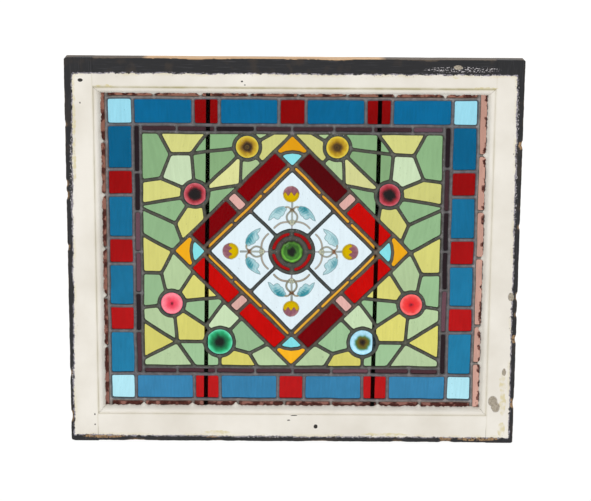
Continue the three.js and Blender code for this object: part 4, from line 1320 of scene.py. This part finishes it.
# %% A lip along each side of the opening
LIP_PITCH = 1.5
LIP = {"left": 0.3, "right": 0.7, "top": 0.2, "bottom": 0.6}
LIP_SECTION = [(-2.2, -12.2), (-0.4, -9.6), (0.6, -6.4), (0.9, -3.3), (0.7, -1.5), (-1.6, -1.5), (-2.6, -6.0)]
LIP_FOLLOWS = [0, 0, 0.35, 1, 1, 0, 0]


def lip(edge, rng):
    """The shell of one side's lip: its section, whose glass end follows a ragged line, carried along."""
    upright = edge in ("left", "right")
    half = (OPENING["top"] - OPENING["bottom"] if upright else OPENING["right"] - OPENING["left"]) / 2
    along = np.linspace(-half, half, round(2 * half / LIP_PITCH))
    reach = LIP[edge] + 0.9 * ripple(along, along * 0, 16, len(edge)) + 0.6 * ripple(along, along * 0, 5, 4)
    for joint in FILLET_JOINTS["outer_fillet_" + edge]:
        reach = reach + rng.uniform(1.5, 5.0) * np.exp(-(((along - joint + rng.normal(0, 1.5)) / 3.2) ** 2))
    reach = np.clip(reach, 0, None)
    section, follows = np.array(LIP_SECTION), np.array(LIP_FOLLOWS)
    inward = section[:, 0] + np.multiply.outer(reach, follows)
    depth = np.broadcast_to(section[:, 1], inward.shape)
    along = np.broadcast_to(along[:, None], inward.shape)
    outward = {"left": -1, "right": 1, "top": 1, "bottom": -1}[edge]
    across = OPENING[edge] - outward * inward
    x, z = (across, SASH_MIDDLE + along) if upright else (along, across)
    points = np.stack([x.ravel(), depth.ravel(), z.ravel()], 1)
    rows, columns = inward.shape
    cap = np.arange(columns)
    return shell(points, [grid_faces(rows, columns, False, True), cap[::-1], cap + (rows - 1) * columns],
                 paint=30.0, face=1.0, quirk=0.0, broken=0.0,
                 grain=np.stack([along.ravel(), inward.ravel(), depth.ravel()], 1) * MM)


rng = np.random.default_rng(14)
build("paint_lip", [lip(edge, rng) for edge in LIP], sash_finish, smooth=60)
print("paint runs out over the glass on", len(LIP), "sides")

# %% [markdown]
# ## Support bars and putty
#
# Two square steel bars stiffen the panel from behind, and show through the glass as dark stripes. The
# bars are the frame's own solids. The putty wedge that beds the panel was pressed in by hand, so its
# edge wanders and its face is hollow.

# %% Putty
PUTTY_WIDE, PUTTY_DEEP, PANEL_BACK = 9.2, 10.8, 3.35
REBATE = {"x": 311.2, "z": 262.7}
PUTTY_SECTION = [
    (0, 0), (0, 0.5), (0, 1), (0.3, 0.62), (0.62, 0.3), (0.88, 0.14), (1, 0.05), (1, 0), (0.5, 0),
]


def putty_ring():
    """The wedge's section, as shares of its width and depth, carried round the rebate with mitred corners."""
    corner = np.array([(-1, -1), (1, -1), (1, 1), (-1, 1)])
    share = np.linspace(0, 1, 80, endpoint=False)[:, None]
    loop = np.concatenate([corner[i] + (corner[(i + 1) % 4] - corner[i]) * share for i in range(4)])
    rows = []
    for wide, deep in PUTTY_SECTION:
        wander = 0.6 * ripple(loop[:, 0] * REBATE["x"], loop[:, 1] * REBATE["z"], 25, 71) * wide
        inset = wide * PUTTY_WIDE + wander
        x = loop[:, 0] * (REBATE["x"] - inset)
        z = loop[:, 1] * (REBATE["z"] - inset) + SASH_MIDDLE
        rows.append(np.stack([x, np.full(len(x), PANEL_BACK + deep * PUTTY_DEEP), z], 1))
    return shell(np.concatenate(rows), [grid_faces(len(rows), len(loop), True, True)])


putty, tree, shader = material("Linseed putty, hand smoothed and cracked", Roughness=0.85)
object_place = node(tree, "TexCoord").outputs["Object"]
crack_inputs = {"Vector": object_place, "Scale": 1 / (18 * MM)}
cracks = node(tree, "TexVoronoi", crack_inputs, feature="DISTANCE_TO_EDGE")
line = span(tree, cracks.outputs["Distance"], 0.0, 0.035)
body = mixed(tree, noise(tree, 20, 4), linear("8f8674"), linear("c2b8a2"))
tree.links.new(mixed(tree, line, linear("4a4238"), body), shader.inputs["Base Color"])
bump(tree, shader, maths(tree, "ADD", line, noise(tree, 8, 4)), 0.4)
build("putty_smoothed", [putty_ring()], putty, ["glazing_putty"], 40)

# %% Bars
rusty, tree, shader = material("Steel bar, black and rusted", Metallic=0.6)
rust = span(tree, noise(tree, 6, 5), 0.5, 0.62)
tree.links.new(mixed(tree, rust, linear("1f1c1b"), linear("4d3527")), shader.inputs["Base Color"])
tree.links.new(span(tree, rust, 0, 1, 0.5, 0.85), shader.inputs["Roughness"])
bump(tree, shader, noise(tree, 2, 4), 0.2)
for name in ("support_bar_left", "support_bar_right"):
    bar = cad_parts[name]
    bar.data.materials.clear()
    bar.data.materials.append(rusty)
print("bars and putty have their finish")

# %% [markdown]
# ## Camera, light and floor
#
# The window is seen straight on and from a little above, through a long lens. The light is a pale,
# even studio: a bright surround that also shines through the glass, a soft lamp in front and one behind.

# %% Camera
LENS, SENSOR = 103.55, 36.0
AIM = np.array([3.4, 0.0, 311.1])
DISTANCE, ELEVATION, AZIMUTH, ROLL = 2692.0, 11.97, 0.1, 0.389
camera = bpy.data.objects.new("camera", bpy.data.cameras.new("camera"))
bpy.context.scene.collection.objects.link(camera)
camera.data.lens, camera.data.sensor_width = LENS, SENSOR
up, turn = math.radians(ELEVATION), math.radians(AZIMUTH)
back = np.array([-math.sin(turn) * math.cos(up), -math.cos(turn) * math.cos(up), math.sin(up)])
camera.location = (AIM + back * DISTANCE) * MM
level = Matrix.Rotation(-turn, 3, "Z") @ Matrix.Rotation(math.pi / 2 - up, 3, "X")
camera.rotation_euler = (level @ Matrix.Rotation(math.radians(ROLL), 3, "Z")).to_euler()
bpy.context.scene.camera = camera
print("camera at", [round(v, 3) for v in camera.location])

# %% Floor and light
FLOOR_REACH = 40.0
floor_mesh = bpy.data.meshes.new("floor")
r = FLOOR_REACH
floor_mesh.from_pydata([(-r, -r, 0), (r, -r, 0), (r, r, 0), (-r, r, 0)], [], [(0, 1, 2, 3)])
floor = bpy.data.objects.new("floor", floor_mesh)
bpy.context.scene.collection.objects.link(floor)
paper, tree, shader = material(
    "Pale paper floor, lit from below", Roughness=0.9, Emission_Strength=0.93, Emission_Color=(1, 1, 1, 1)
)
grey = mixed(tree, noise(tree, 900, 2), linear("4a4a4a"), linear("505050"))
tree.links.new(grey, shader.inputs["Base Color"])
floor_mesh.materials.append(paper)
floor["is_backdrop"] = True

world = bpy.data.worlds.new("studio")
bpy.context.scene.world = world
world.use_nodes = True
world.node_tree.nodes["Background"].inputs["Color"].default_value = (1, 1, 1, 1)
world.node_tree.nodes["Background"].inputs["Strength"].default_value = 1.0
bpy.context.scene.view_settings.view_transform = "Standard"


def soft_lamp(name, place, size, watts):
    """A square lamp of a size in metres that shines at the window's middle."""
    lamp = bpy.data.objects.new(name, bpy.data.lights.new(name, "AREA"))
    lamp.data.size, lamp.data.energy = size, watts
    lamp.location = place
    aim = -lamp.location
    aim.z += SASH_MIDDLE * MM
    lamp.rotation_euler = aim.to_track_quat("-Z", "Y").to_euler()
    bpy.context.scene.collection.objects.link(lamp)


soft_lamp("key", (-1.6, -2.2, 2.0), 1.2, 12)
soft_lamp("from_behind", (1.2, 2.4, 1.8), 1.2, 8)
